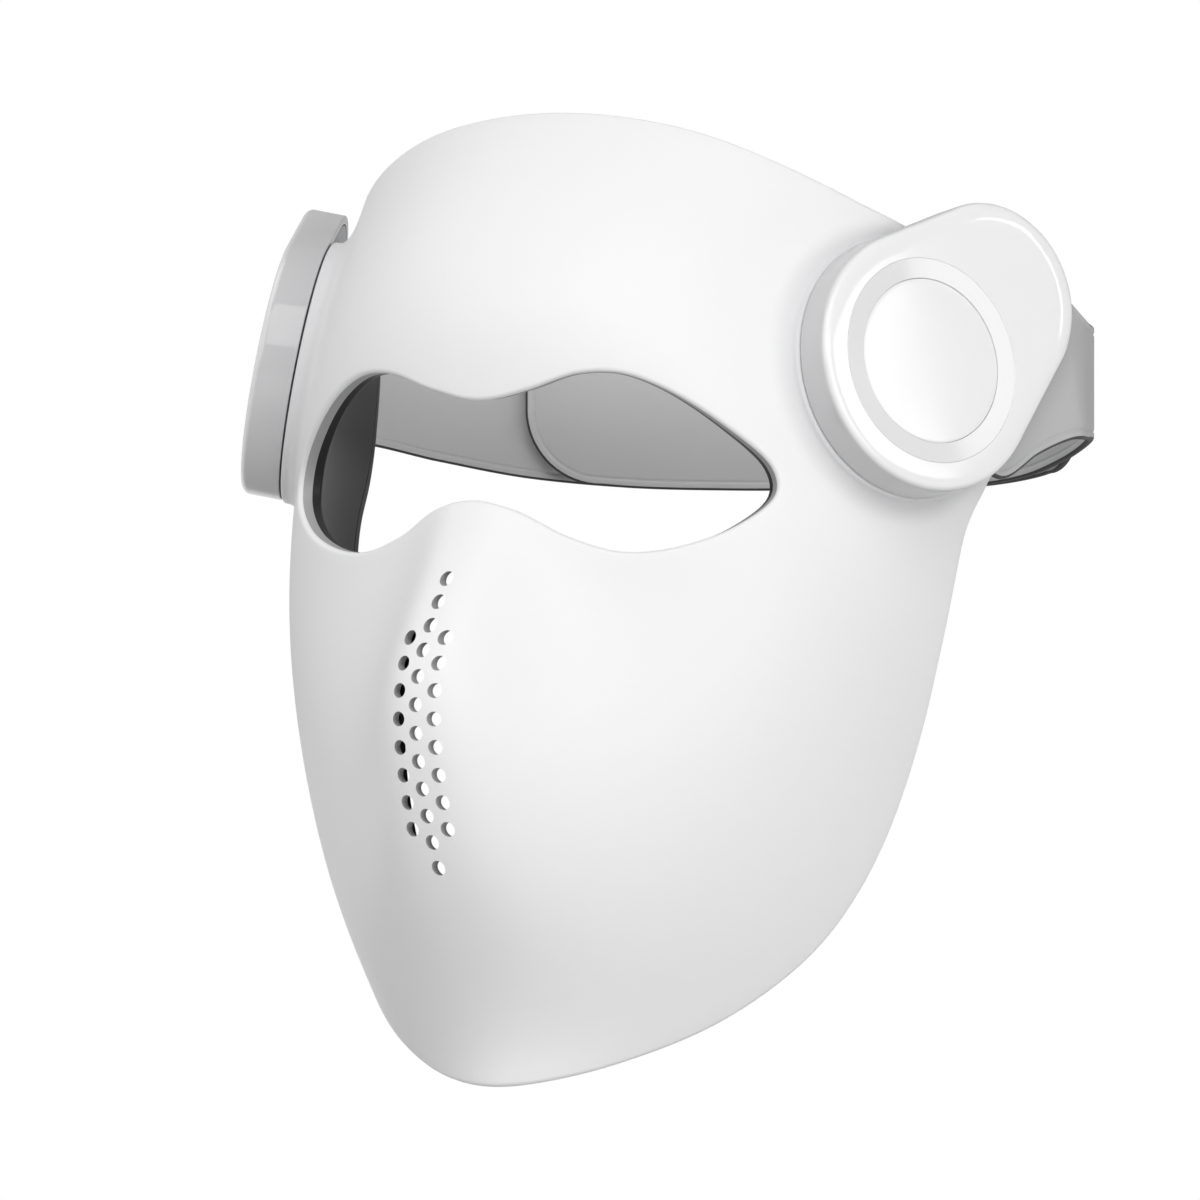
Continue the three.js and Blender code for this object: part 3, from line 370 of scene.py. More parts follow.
def blended(shares, start, step, level):
    """A smooth value between the rows of a table."""
    along = (level / SHELL_HEIGHT - start) / step
    row = np.clip(np.floor(along), 1, len(shares) - 3).astype(int)
    f = along - row
    weights = ((1 - f) ** 3, 3 * f**3 - 6 * f**2 + 4, 1 + 3 * f + 3 * f**2 - 3 * f**3, f**3)
    table = np.array(shares, float)
    return sum(weight * table[row - 1 + i] for i, weight in enumerate(weights)) / 6


def cubic(t, *points):
    """A cubic curve by its four points, at a share t along it."""
    weights = ((1 - t) ** 3, 3 * t * (1 - t) ** 2, 3 * t**2 * (1 - t), t**3)
    return sum(weight * point for weight, point in zip(weights, points))


def face_point(across, level):
    """The outer face at a share across (-1 to 1) and a level above the eye line."""
    rows = {key: blended(row, FACE_START, FACE_STEP, level) for key, row in face_rows.items()}
    front, rear = rows["front"] * SHELL_DEPTH, rows["rear"] * SHELL_DEPTH
    width, temple = rows["width"] * SHELL_HALF_WIDTH, rows["temple"] * (rear - front)
    a = np.abs(across)
    out = cubic(a, 0, rows["fullness"] * width, width - temple * rows["flare"], width)
    back = cubic(a, front, front, rear - temple, rear)
    height = blended(ridge_rows["height"], RIDGE_START, RIDGE_STEP, level) * RIDGE_HEIGHT
    half = blended(ridge_rows["width"], RIDGE_START, RIDGE_STEP, level) * RIDGE_HALF_WIDTH
    lift = height / (1 + np.abs(out / half) ** RIDGE_POWER)
    point = (np.sign(across) * out, back - lift - PIVOT_SETBACK, level - EYE_LINE_DROP)
    return np.stack(np.broadcast_arrays(*point), -1)


print("nose tip", face_point(np.array(0.0), np.array(-0.04)).round(4))

# %% [markdown]
# ## Walking on the face
# The slopes of the face come from a small step each way. They give its normal, and they lead from
# a guess to the place on the face that is nearest to a point.

# %% Walking on the face
ACROSS_NUDGE = 0.004
LEVEL_NUDGE = 0.002 * SHELL_HEIGHT
NEAREST_STEPS = 12


def face_slopes(across, level):
    side = face_point(across + ACROSS_NUDGE, level) - face_point(across - ACROSS_NUDGE, level)
    rise = face_point(across, level + LEVEL_NUDGE) - face_point(across, level - LEVEL_NUDGE)
    return side / (2 * ACROSS_NUDGE), rise / (2 * LEVEL_NUDGE)


def unit(vectors):
    return vectors / np.linalg.norm(vectors, axis=-1, keepdims=True)


def face_normal(across, level):
    return unit(np.cross(*face_slopes(across, level)))


def nearest_on_face(targets, across, level):
    """Walks each guess over the face until it is under its target."""
    for _ in range(NEAREST_STEPS):
        side, rise = face_slopes(across, level)
        gap = targets - face_point(across, level)
        ss, rr, sr = (side * side).sum(-1), (rise * rise).sum(-1), (side * rise).sum(-1)
        gs, gr = (gap * side).sum(-1), (gap * rise).sum(-1)
        det = ss * rr - sr * sr
        across = across + (gs * rr - gr * sr) / det
        level = level + (gr * ss - gs * sr) / det
    return across, level


print("normal of the brow", face_normal(np.array(0.0), np.array(0.04)).round(3))

# %% [markdown]
# ## A flat chart of the face
# Triangles are spread evenly if the face is first laid out flat. Distance along one level stands
# for the sideways coordinate, so a square grid on the chart is nearly square on the face.

# %% The chart
CHART_LEVEL = -0.03
CHART_REACH, CHART_STEPS = 1.15, 400


def run_along(points):
    """The distance run at each point of a line."""
    return np.concatenate([[0], np.cumsum(np.linalg.norm(np.diff(points, axis=0), axis=1))])


chart_across = np.linspace(0, CHART_REACH, CHART_STEPS)
chart_length = run_along(face_point(chart_across, np.full(CHART_STEPS, CHART_LEVEL)))


def to_chart(across, level):
    flat = np.sign(across) * np.interp(np.abs(across), chart_across, chart_length)
    return np.stack([flat, level], -1)


def from_chart(flat):
    across = np.sign(flat[:, 0]) * np.interp(np.abs(flat[:, 0]), chart_length, chart_across)
    return across, flat[:, 1]


print("half width on the chart", round(float(chart_length[-1]), 4))

# %% [markdown]
# ## Curves through a few points
# A moulder draws an edge by a few points and lets it run smoothly between them. A spline that
# passes through its points does the same, and a power of their distances keeps it from swinging out.

# %% Curves
LEAST_SPAN = 1e-9


def smooth_curve(points, closed=False, per_span=24, power=0.5):
    """A curve through points, with spans eased by a power of their lengths."""
    knots = np.array(points, float)
    if closed:
        knots = np.concatenate([knots[-1:], knots, knots[:2]])
    else:
        knots = np.concatenate([[2 * knots[0] - knots[1]], knots, [2 * knots[-1] - knots[-2]]])
    curve = []
    for before, start, end, after in zip(knots, knots[1:], knots[2:], knots[3:]):
        a, b, c = (max(np.linalg.norm(q - p), LEAST_SPAN) ** power
                   for p, q in ((before, start), (start, end), (end, after)))
        out = ((start - before) / a - (end - before) / (a + b) + (end - start) / b) * b
        into = ((end - start) / b - (after - start) / (b + c) + (after - end) / c) * b
        t = np.arange(per_span)[:, None] / per_span
        bend = (-3 * t**2 + 2 * t**3) * (start - end)
        curve.append(start + out * (t - 2 * t**2 + t**3) + bend + into * (t**3 - t**2))
    if not closed:
        curve.append(knots[-2:-1])
    return np.concatenate(curve)


def evenly(points, count):
    """Places points at even distances round a closed loop."""
    closed = np.concatenate([points, points[:1]])
    run = run_along(closed)
    at = np.arange(count) / count * run[-1]
    return np.stack([np.interp(at, run, column) for column in closed.T], -1)


def full_turn(count):
    return np.linspace(0, 2 * math.pi, count, endpoint=False)


def circle(turn, radius=1):
    """Points at angles round a centre, at one radius or at a radius each."""
    return np.stack([np.cos(turn) * radius, np.sin(turn) * radius], -1)


print("a curve round four knots has", len(smooth_curve(circle(full_turn(4)), closed=True)), "points")

# %% [markdown]
# ## Loops on the face
# Three kinds of edge cut the shell: the rear edge, the one wide eye opening, and the foot of each
# round boss. Each is a loop of places on the face. A hole runs the other way round than the
# outer edge, so that every strip built on a loop faces outwards.

# %% Loops
HALVINGS = 40


def furthest(low, high, holds):
    """For each pair of values, the furthest from low at which a test still holds, by halving."""
    for _ in range(HALVINGS):
        middle = (low + high) / 2
        ok = holds(middle)
        low, high = np.where(ok, middle, low), np.where(ok, high, middle)
    return low


def loop_on_face(flat, count):
    """A loop on the chart as places on the face, at even distances."""
    places = evenly(np.concatenate([face_point(*from_chart(flat)), flat], -1), count)
    return from_chart(places[:, 3:])


def runs_left(across, level):
    """Whether a loop runs anticlockwise on the chart."""
    flat = to_chart(across, level)
    after = np.roll(flat, -1, 0)
    return (flat[:, 0] * after[:, 1] - after[:, 0] * flat[:, 1]).sum() > 0


def turn_way(across, level, left):
    return (across, level) if runs_left(across, level) == left else (across[::-1], level[::-1])


# %% [markdown]
# ## The rear edge
# The rear edge of the shell is drawn in side view. From a centre on the chart, each way is followed
# until the face passes behind that drawn edge, which gives one loop round the whole shell.

# %% The rear edge
edge_shares = (
    (0.1, -0.66), (0.285, -0.622), (0.41, -0.595), (0.542, -0.553), (0.664, -0.491), (0.74, -0.429),
    (0.8, -0.354), (0.845, -0.265), (0.876, -0.177), (0.912, -0.088), (0.94, -0.045), (1.0, 0),
    (1.04, 0.05), (1.055, 0.115), (1.005, 0.19), (0.9, 0.245), (0.765, 0.285), (0.66, 0.323),
    (0.59, 0.358), (0.555, 0.378), (0.5, 0.42),
)
LOOP_CENTRE = (0, -0.025)
LOOP_WAYS, LOOP_LEAST, LOOP_MOST = 1200, 0.02, 0.19
EDGE_COUNT = 420
GRID_REACH = 1.08
edge_curve = smooth_curve(edge_shares, power=0) * (SHELL_DEPTH, SHELL_HEIGHT)


def inside_edge(across, level):
    back = face_point(across, level)[..., 1] + PIVOT_SETBACK
    limit = np.interp(level, edge_curve[:, 1], edge_curve[:, 0])
    drawn = (level > edge_curve[0, 1]) & (level < edge_curve[-1, 1])
    return drawn & (back < limit) & (np.abs(across) < GRID_REACH)


turn = full_turn(LOOP_WAYS)
reach = furthest(np.full(LOOP_WAYS, LOOP_LEAST), np.full(LOOP_WAYS, LOOP_MOST),
                 lambda radius: inside_edge(*from_chart(circle(turn, radius) + LOOP_CENTRE)))
edge_loop = turn_way(*loop_on_face(circle(turn, reach) + LOOP_CENTRE, EDGE_COUNT), True)
print("rear edge", face_point(*edge_loop).min(0).round(4), face_point(*edge_loop).max(0).round(4))

# %% [markdown]
# ## The eye opening
# One wide opening serves both eyes. It is drawn in front view, half of it, and mirrored. Each of
# its points is then found on the face straight behind the drawing.

# %% The eye opening
EYE_HALF_WIDTH, EYE_HEIGHT = 0.064, 0.041
EYE_COUNT = 260
eye_shares = (
    (0, 0.434), (0.19, 0.49), (0.38, 0.585), (0.53, 0.588), (0.68, 0.493), (0.85, 0.29), (0.975, 0.06),
    (0.985, -0.1), (0.875, -0.276), (0.7, -0.385), (0.53, -0.405), (0.35, -0.32), (0.164, -0.166),
    (0, -0.112),
)


def drawn_on_face(outline, count):
    """A loop drawn in front view, as places on the face."""
    across = furthest(np.zeros(len(outline)), np.ones(len(outline)),
                      lambda share: face_point(share, outline[:, 1])[:, 0] < np.abs(outline[:, 0]))
    return loop_on_face(to_chart(np.sign(outline[:, 0]) * across, outline[:, 1]), count)


half = np.array(eye_shares)
knots = np.concatenate([half, (half * (-1, 1))[-2:0:-1]]) * (EYE_HALF_WIDTH, EYE_HEIGHT)
eye_loop = turn_way(*drawn_on_face(smooth_curve(knots, closed=True), EYE_COUNT), False)
print("eye opening", face_point(*eye_loop).min(0).round(4), face_point(*eye_loop).max(0).round(4))

# %% [markdown]
# ## Edges moved inwards
# A rim, a lip and a liner follow the same loop a little further in. Each point steps inwards along
# the face, square to the loop, and is then brought back onto the face.

# %% Moved edges
LIP_WIDTH = 0.003


def edge_frames(across, level):
    """For a loop of places: the points, the outward way along the face, and the normal."""
    points, normal = face_point(across, level), face_normal(across, level)
    along = unit(np.roll(points, -1, 0) - np.roll(points, 1, 0))
    return points, unit(np.cross(along, normal)), normal


def moved_edge(across, level, distance):
    """The same loop a distance inwards, on the face."""
    points, outward, _ = edge_frames(across, level)
    return nearest_on_face(points - outward * distance, across, level)


lip_loops = [moved_edge(*loop, LIP_WIDTH) for loop in (edge_loop, eye_loop)]
print("lip round the shell", run_along(face_point(*lip_loops[0]))[-1].round(3), "m")

# %% [markdown]
# ## Triangles between the outlines
# Quads in rings would bunch up round the eye opening and the bosses. So a grid of even points is
# laid on the chart and joined to the loops by the roundest triangles that fit. Every piece of the
# face sandwich uses this: the outer skin, the skin under it, and the liner.

# %% Fill between loops
RIM_GAP_SHARE = 0.75
TRIANGLE_RISE_SHARE = math.sqrt(0.75)
LEAST_RUN = 1e-12
MERGE_DISTANCE = 1e-9


def inside_loop(flat, loop):
    start, end = loop, np.roll(loop, -1, 0)
    x, y = flat[:, :1], flat[:, 1:]
    crosses = (start[:, 1] > y) != (end[:, 1] > y)
    run = end[:, 1] - start[:, 1]
    run = np.where(np.abs(run) < LEAST_RUN, LEAST_RUN, run)
    at = start[:, 0] + (y - start[:, 1]) * (end[:, 0] - start[:, 0]) / run
    return (crosses & (x < at)).sum(1) % 2 == 1


def between(flat, rims):
    kept = inside_loop(flat, rims[0])
    for rim in rims[1:]:
        kept &= ~inside_loop(flat, rim)
    return kept


def even_grid(rims, spacing):
    """A grid of even triangles, the same on both sides, clear of the rims."""
    low, high = rims[0].min(0), rims[0].max(0)
    half_row = np.arange(0, high[0] + spacing, spacing)
    grid = []
    for i, y in enumerate(np.arange(low[1], high[1], spacing * TRIANGLE_RISE_SHARE)):
        x = half_row + (i % 2) * spacing / 2
        both = np.concatenate([-x[::-1], x]) if i % 2 else np.concatenate([-x[:0:-1], x])
        grid.append(np.stack([both, np.full(len(both), y)], -1))
    grid = np.concatenate(grid)
    grid = grid[between(grid, rims)]
    for rim in rims:
        gaps = np.linalg.norm(grid[:, None] - rim[None], axis=2).min(1)
        grid = grid[gaps > spacing * RIM_GAP_SHARE]
    return grid


def filled(loops, spacing):
    """Even triangles between an outer loop and its holes. The places of the loops come first."""
    rims = [to_chart(*loop) for loop in loops]
    flat = np.concatenate([*rims, even_grid(rims, spacing)])
    starts = np.cumsum([0] + [len(rim) for rim in rims])
    rings = [np.arange(a, b) for a, b in zip(starts, starts[1:])]
    edges = [pair for ring in rings for pair in zip(ring.tolist(), np.roll(ring, -1).tolist())]
    points = [Vector(p) for p in flat]
    _, _, faces, origins, _, _ = delaunay_2d_cdt(points, edges, [], 0, MERGE_DISTANCE)
    triangles = np.array([[origins[i][0] for i in face] for face in faces])
    triangles = triangles[between(flat[triangles].mean(1), rims)]
    a, b, c = (flat[triangles[:, k]] for k in range(3))
    area = (b - a)[:, 0] * (c - a)[:, 1] - (b - a)[:, 1] * (c - a)[:, 0]
    triangles[area < 0] = triangles[area < 0][:, ::-1]
    return *from_chart(flat), triangles, rings


# %% [markdown]
# ## Skins
# Each piece is a closed skin, collected as rings of points with strips of faces between them. A
# skin can carry a few finishes, one for each strip. At the end the piece gets smooth shading with
# crisp edges and the body that it rides on, and the solids it stands for are hidden.

# %% Skins
USUAL_CREASE = 40


def mesh_object(name, points, faces=()):
    mesh = bpy.data.meshes.new(name)
    mesh.from_pydata(np.asarray(points, float).tolist(), [], list(faces))
    return add_object(name, mesh)


def dress(piece, body, replaced=(), crease=USUAL_CREASE):
    """Smooth shading but for edges past a crease angle in degrees, then the body that it rides on, with the
    solids that it replaces hidden.
    """
    piece.data.shade_smooth()
    piece.data.set_sharp_from_angle(angle=math.radians(crease))
    if body:
        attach(piece, body)
        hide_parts(*replaced)
    edges = {}
    for polygon in piece.data.polygons:
        for key in polygon.edge_keys:
            edges[key] = edges.get(key, 0) + 1
    loose = sum(1 for uses in edges.values() if uses != 2)
    print(piece.name, len(piece.data.polygons), "faces,", loose, "open edges")
    return piece


class Skin:
    """Points and faces of one closed piece, and which of its materials each face has."""

    def __init__(self):
        self.points, self.faces, self.finishes, self.count = [], [], [], 0

    def add(self, points):
        """Adds points and returns their numbers."""
        points = np.asarray(points, float).reshape(-1, 3)
        self.points.append(points)
        self.count += len(points)
        return np.arange(self.count - len(points), self.count)

    def add_faces(self, faces, flipped=False, finish=0):
        self.faces += [face[::-1] for face in faces] if flipped else faces
        self.finishes += [finish] * (len(self.faces) - len(self.finishes))

    def strip(self, rows, flipped=False, finish=0):
        """Quads between rings of points, each ring closed on itself."""
        for a, b in zip(rows, rows[1:]):
            quads = np.stack([a, b, np.roll(b, -1), np.roll(a, -1)], -1)
            self.add_faces(quads.tolist(), flipped, finish)

    def close(self, ring, centre, flipped=False):
        """A fan from a ring to one point."""
        middle = self.add(centre)[0]
        self.add_faces([(a, middle, b) for a, b in zip(ring, np.roll(ring, -1))], flipped)

    def piece(self, name, materials, body=None, slot=None, replaced=(), crease=USUAL_CREASE):
        piece = mesh_object(name, np.concatenate(self.points), self.faces)
        for material in materials:
            piece.data.materials.append(material)
        piece.data.polygons.foreach_set("material_index", self.finishes)
        return dress(piece, body, replaced, crease)


# %% [markdown]
# ## The rim of the shell
# The shell is moulded in one piece with its two bosses. Its outer skin rolls over a rounded rim
# to a smoked lip that frames the liner. A modifier could round the edge, but a drawn profile keeps
# the white, the wall of the eye opening painted grey as painted shade, and the dark lip in rings of
# their own.

# %% Rim
SHELL_WALL = 0.0024
RIM_DEPTH = 0.00565
RIM_ROUND = 0.0012
RIM_WHITE = 0.0034
INNER_ROUND = 0.0007
ROUND_STEPS = 6


def skin_point(loop, depth):
    return face_point(*loop) - face_normal(*loop) * depth


def round_profile(start, end, corner, steps=ROUND_STEPS):
    """A quarter round as [along, down] pairs, from a start past a corner to an end."""
    turn = np.linspace(0, math.pi / 2, steps + 1)[:, None]
    start, end, corner = (np.array(p, float) for p in (start, end, corner))
    centre = start + end - corner
    return centre + (start - centre) * np.cos(turn) + (end - centre) * np.sin(turn)


def rim_rows(skin, ring, loop, lip_loop, inner_ring):
    """Rings from the outer skin over the rounded rim to the lip, and up to the inner skin."""
    points, outward, normal = edge_frames(*moved_edge(*loop, RIM_ROUND))
    lower_start, lower_end = (RIM_ROUND, RIM_DEPTH - INNER_ROUND), (RIM_ROUND - INNER_ROUND, RIM_DEPTH)
    profile = [
        *round_profile((0, 0), (RIM_ROUND, RIM_ROUND), (RIM_ROUND, 0))[1:], (RIM_ROUND, RIM_WHITE),
        *round_profile(lower_start, lower_end, (RIM_ROUND, RIM_DEPTH)),
    ]
    rows = [skin.add(points + outward * out - normal * down) for out, down in profile]
    return [ring, *rows, skin.add(skin_point(lip_loop, RIM_DEPTH)), inner_ring]


# %% [markdown]
# ## The foot of each boss
# The boss foot is a wide fillet, which catches the soft shadow round each pod, and its inner part
# also carries painted shade. Its outer ring is found on the face at a set radius from the pivot,
# pulled in where the rear edge is close.

# %% Boss foot
BOSS_RADIUS = 0.031
BOSS_FOOT, BOSS_FOOT_LEAST, FOOT_PULL = 0.0395, 0.0324, 0.0005
BOSS_COUNT = 180
EDGE_MARGIN = 0.0024
FOOT_GUESS = 0.8
FOOT_ROUNDS, FOOT_STEPS = 30, 8


def under_pod(flat, across, level, side):
    """Walks each guess over the face until it is straight under its [back, up] place of a pod."""
    for _ in range(FOOT_STEPS):
        gap = flat - to_pod(face_point(across, level), side)[:, :2]
        along, rise = (slope @ pod_axes(side).T for slope in face_slopes(across, level))
        det = along[:, 0] * rise[:, 1] - along[:, 1] * rise[:, 0]
        across = across + (gap[:, 0] * rise[:, 1] - gap[:, 1] * rise[:, 0]) / det
        level = level + (gap[:, 1] * along[:, 0] - gap[:, 0] * along[:, 1]) / det
    return across, level


def boss_foot(side):
    """The bearings, the radii and the places on the face of a boss's foot, clockwise."""
    turn, edge_points = full_turn(BOSS_COUNT), face_point(*edge_loop)
    radius = np.full(BOSS_COUNT, BOSS_FOOT)
    across, level = np.full(BOSS_COUNT, side * FOOT_GUESS), np.full(BOSS_COUNT, EYE_LINE_DROP)
    for _ in range(FOOT_ROUNDS):
        across, level = under_pod(circle(turn, radius), across, level, side)
        here = face_point(across, level)
        gap = np.linalg.norm(here[:, None] - edge_points[None], axis=2).min(1)
        near = (gap < EDGE_MARGIN) | ~inside_edge(across, level)
        if not near.any():
            break
        radius = np.where(near, np.maximum(radius - FOOT_PULL, BOSS_FOOT_LEAST), radius)
        radius = (np.roll(radius, 1) + 2 * radius + np.roll(radius, -1)) / 4
    way = -1 if runs_left(across, level) else 1
    return turn[::way], radius[::way], (across[::way], level[::way])


feet = {side: boss_foot(side) for side in (1, -1)}
print("boss foot radius", feet[1][1].min().round(4), feet[1][1].max().round(4))

# %% [markdown]
# ## The bosses
# From its foot each boss sweeps up to a short wall, over a small rounded edge and down its bore to a
# floor. A cubic curve for each bearing joins the slope of the face to the upright wall.

# %% Bosses
BOSS_BORE = 0.028
BOSS_FLOOR = -0.004
BOSS_EDGE = 0.0009
FILLET_STEPS = 12
FOOT_HOLD_SHARE, WALL_HOLD_SHARE = 0.62, 0.6
WALL_START_SHARE, WALL_TOP_SHARE = 0.8, 1.4


def boss_rows(skin, ring, foot, side):
    """Rings from the boss foot up its wall, over its edge and down its bore to the floor."""
    turn, radius, places = foot
    foot_height = to_pod(face_point(*places), side)[:, 2]
    normal = face_normal(*places) @ pod_axes(side).T
    slope = (normal[:, 0] * np.cos(turn) + normal[:, 1] * np.sin(turn)) / normal[:, 2]
    reach = radius - BOSS_RADIUS
    meet = foot_height + slope * reach
    wall = np.maximum(np.minimum(meet + WALL_START_SHARE * reach, -BOSS_EDGE * WALL_TOP_SHARE), meet)
    rings = []
    for t in np.linspace(0, 1, FILLET_STEPS + 1)[1:]:
        out = cubic(t, radius, radius - FOOT_HOLD_SHARE * reach, BOSS_RADIUS, BOSS_RADIUS)
        hold = foot_height + slope * FOOT_HOLD_SHARE * reach
        rings.append((out, cubic(t, foot_height, hold, wall - WALL_HOLD_SHARE * (wall - meet), wall)))
    inner = BOSS_EDGE / 2
    rings += [
        *round_profile((BOSS_RADIUS, -BOSS_EDGE), (BOSS_RADIUS - BOSS_EDGE, 0), (BOSS_RADIUS, 0)),
        *round_profile((BOSS_BORE + inner, 0), (BOSS_BORE, -inner), (BOSS_BORE, 0)),
        (BOSS_BORE, BOSS_FLOOR), (BOSS_BORE / 2, BOSS_FLOOR),
    ]
    return [ring, *(skin.add(pod_level(circle(turn, out), height, side)) for out, height in rings)]


# %% [markdown]
# ## The shell
# The outer skin is filled between the rear edge, the eye opening and the two boss feet, and the
# inner skin lies a wall's thickness below it. The rims and the bosses then close the piece.

# %% Build the shell
SKIN_SPACING = 0.0021
INNER_COARSER = 1.5
# The wall of the eye opening gets the grey of painted shade.
LIP_FINISH, RIM_PAINTED_SHADE = 1, 2

shell = Skin()
start_loops = [moved_edge(*loop, RIM_ROUND) for loop in (edge_loop, eye_loop)]
feet_loops = [places for _, _, places in feet.values()]
across, level, triangles, rings = filled([*start_loops, *feet_loops], SKIN_SPACING)
shell.add(face_point(across, level))
shell.add_faces(triangles.tolist())
across, level, triangles, inner_rings = filled(lip_loops, SKIN_SPACING * INNER_COARSER)
inner = shell.add(skin_point((across, level), SHELL_WALL))
shell.add_faces((triangles + inner[0]).tolist(), flipped=True)
for loop, ring, lip_loop, inner_ring in zip((edge_loop, eye_loop), rings, lip_loops, inner_rings):
    rows = rim_rows(shell, ring, loop, lip_loop, inner_ring + inner[0])
    shell.strip(rows[:ROUND_STEPS + 1])
    shell.strip(rows[ROUND_STEPS:ROUND_STEPS + 2], finish=RIM_PAINTED_SHADE if loop is eye_loop else 0)
    shell.strip(rows[ROUND_STEPS + 1:], finish=LIP_FINISH)
for side, ring in zip(feet, rings[2:]):
    rows = boss_rows(shell, ring, feet[side], side)
    shell.strip(rows)
    shell.close(rows[-1], from_pod([0, 0, BOSS_FLOOR], side))
shell_piece = shell.piece("face_skin", [satin_white, liner_smoke, hole_painted_shade])

# %% [markdown]
# ## Breathing holes
# Twenty-eight small holes follow the nose ridge: one column down the middle and a shorter one at
# each side, staggered by half a pitch. Their pitch is measured along the curve of the ridge, as a
# moulder would, so they stay even where the nose slopes.

# %% Where the holes go
VENT_DIAMETER = 0.0034
VENT_PITCH = 0.00655
VENT_COLUMN_GAP = 0.0046
VENT_START = -0.0229
CENTRE_VENTS, SIDE_VENTS = 12, 8
SEARCH_REACH, SEARCH_STEPS = 1.2, 6000


def ridge_levels(first, count):
    """Levels down the midplane at an even pitch along its curve."""
    level = np.linspace(first, first - count * VENT_PITCH * SEARCH_REACH, SEARCH_STEPS)
    run = run_along(face_point(np.zeros(len(level)), level))
    return np.interp(np.arange(count) * VENT_PITCH, run, level)


centre_levels = ridge_levels(VENT_START, CENTRE_VENTS)
side_levels = (centre_levels[2:2 + SIDE_VENTS] + centre_levels[3:3 + SIDE_VENTS]) / 2
vent_places = [(0, level) for level in centre_levels]
vent_places += [(side * VENT_COLUMN_GAP, level) for side in (-1, 1) for level in side_levels]
vent_points = [(x, face_point(np.array(0.0), np.array(level))[1], level - EYE_LINE_DROP)
               for x, level in vent_places]
print(len(vent_points), "holes")

# %% [markdown]
# ## Geometry Nodes
# What repeats is set out by a node tree with named inputs, so that a size is changed in one place.
# Small helpers build a tree, run it, and turn the result into a plain mesh, because the export
# keeps no live trees and no instances.


# %% Geometry Nodes helpers
def new_tree(name, inputs):
    """A tree, the outputs of its named inputs {name: (socket type, value)}, and its result."""
    tree = bpy.data.node_groups.new(name, "GeometryNodeTree")
    tree.interface.new_socket("Geometry", in_out="INPUT", socket_type="NodeSocketGeometry")
    for label, (kind, value) in inputs.items():
        socket = tree.interface.new_socket(label, in_out="INPUT", socket_type=kind)
        if value is not None:
            socket.default_value = value
    tree.interface.new_socket("Geometry", in_out="OUTPUT", socket_type="NodeSocketGeometry")
    given, result = tree.nodes.new("NodeGroupInput"), tree.nodes.new("NodeGroupOutput")
    return tree, given.outputs, result.inputs["Geometry"]


def realized(tree, instances, material):
    """Instances made real, in a finish."""
    solid = add_node(tree, "GeometryNodeRealizeInstances", {"Geometry": instances})
    made = add_node(tree, "GeometryNodeSetMaterial", {
        "Geometry": solid.outputs["Geometry"], "Material": material,
    })
    return made.outputs["Geometry"]


def keep_plain_mesh(piece):
    """Puts what a piece's modifiers make into its mesh, and removes them."""
    evaluated = piece.evaluated_get(bpy.context.evaluated_depsgraph_get())
    mesh = bpy.data.meshes.new_from_object(evaluated)
    mesh.name = piece.name
    piece.modifiers.clear()
    piece.data = mesh


def apply_tree(piece, tree, values):
    """Runs a tree on a piece, with values for its named inputs."""
    modifier = piece.modifiers.new(tree.name, "NODES")
    modifier.node_group = tree
    for item in tree.interface.items_tree:
        if item.item_type == "SOCKET" and item.in_out == "INPUT" and item.name in values:
            modifier[item.identifier] = values[item.name]
    keep_plain_mesh(piece)


# %% [markdown]
# The tree sets a drill at each place and cuts them all from the shell in one boolean. The walls of
# the holes keep the drill's finish, a grey that is painted shade for the shade inside the holes.

# %% Drill the holes
SHELL_CREASE = 38

tree, given, result = new_tree("drill_holes", {
    "Places": ("NodeSocketObject", None),
    "Hole Radius": ("NodeSocketFloat", VENT_DIAMETER / 2),
    "Drill Length": ("NodeSocketFloat", 0.03),
    "Sides": ("NodeSocketInt", 24),
    "Wall Finish": ("NodeSocketMaterial", None),
})
places = add_node(tree, "GeometryNodeObjectInfo", {"Object": given["Places"]})
drill = add_node(tree, "GeometryNodeMeshCylinder", {
    "Vertices": given["Sides"], "Radius": given["Hole Radius"], "Depth": given["Drill Length"],
})
drills = add_node(tree, "GeometryNodeInstanceOnPoints", {
    "Points": places.outputs["Geometry"], "Instance": drill.outputs["Mesh"], "Rotation": (math.pi / 2, 0, 0),
})
walls = realized(tree, drills.outputs["Instances"], given["Wall Finish"])
cut = add_node(tree, "GeometryNodeMeshBoolean", {"Mesh 1": given["Geometry"], "Mesh 2": walls},
               operation="DIFFERENCE", solver="EXACT")
feed(tree, result, cut.outputs["Mesh"])

vent_markers = mesh_object("vent_places", vent_points)
apply_tree(shell_piece, tree, {"Places": vent_markers, "Wall Finish": hole_painted_shade})
bpy.data.objects.remove(vent_markers)
dress(shell_piece, "mask_body", ["face_shell"], SHELL_CREASE)

# %% [markdown]
# ## The liner
# The smoked liner fills the inside of the shell up to its lip. It is filled between the same loops,
# a little further in, and a slot with round ends leaves the breathing holes free.

# %% The liner
LINER_THICKNESS = 0.0013
LINER_COARSER = 1.3
CLEARANCE = 0.0003
SLOT_COUNT, SLOT_ARC_COUNT = 90, 24
SLOT_RELIEF = 0.0034


def slot_edge(count):
    half = VENT_COLUMN_GAP + VENT_DIAMETER / 2 + SLOT_RELIEF
    top = VENT_START + VENT_DIAMETER / 2 + SLOT_RELIEF - half / 2
    bottom = centre_levels[-1] - VENT_DIAMETER / 2 - SLOT_RELIEF + half / 2
    arc = circle(np.linspace(0, math.pi, SLOT_ARC_COUNT), half)
    return drawn_on_face(np.concatenate([arc + (0, top), -arc + (0, bottom)]), count)


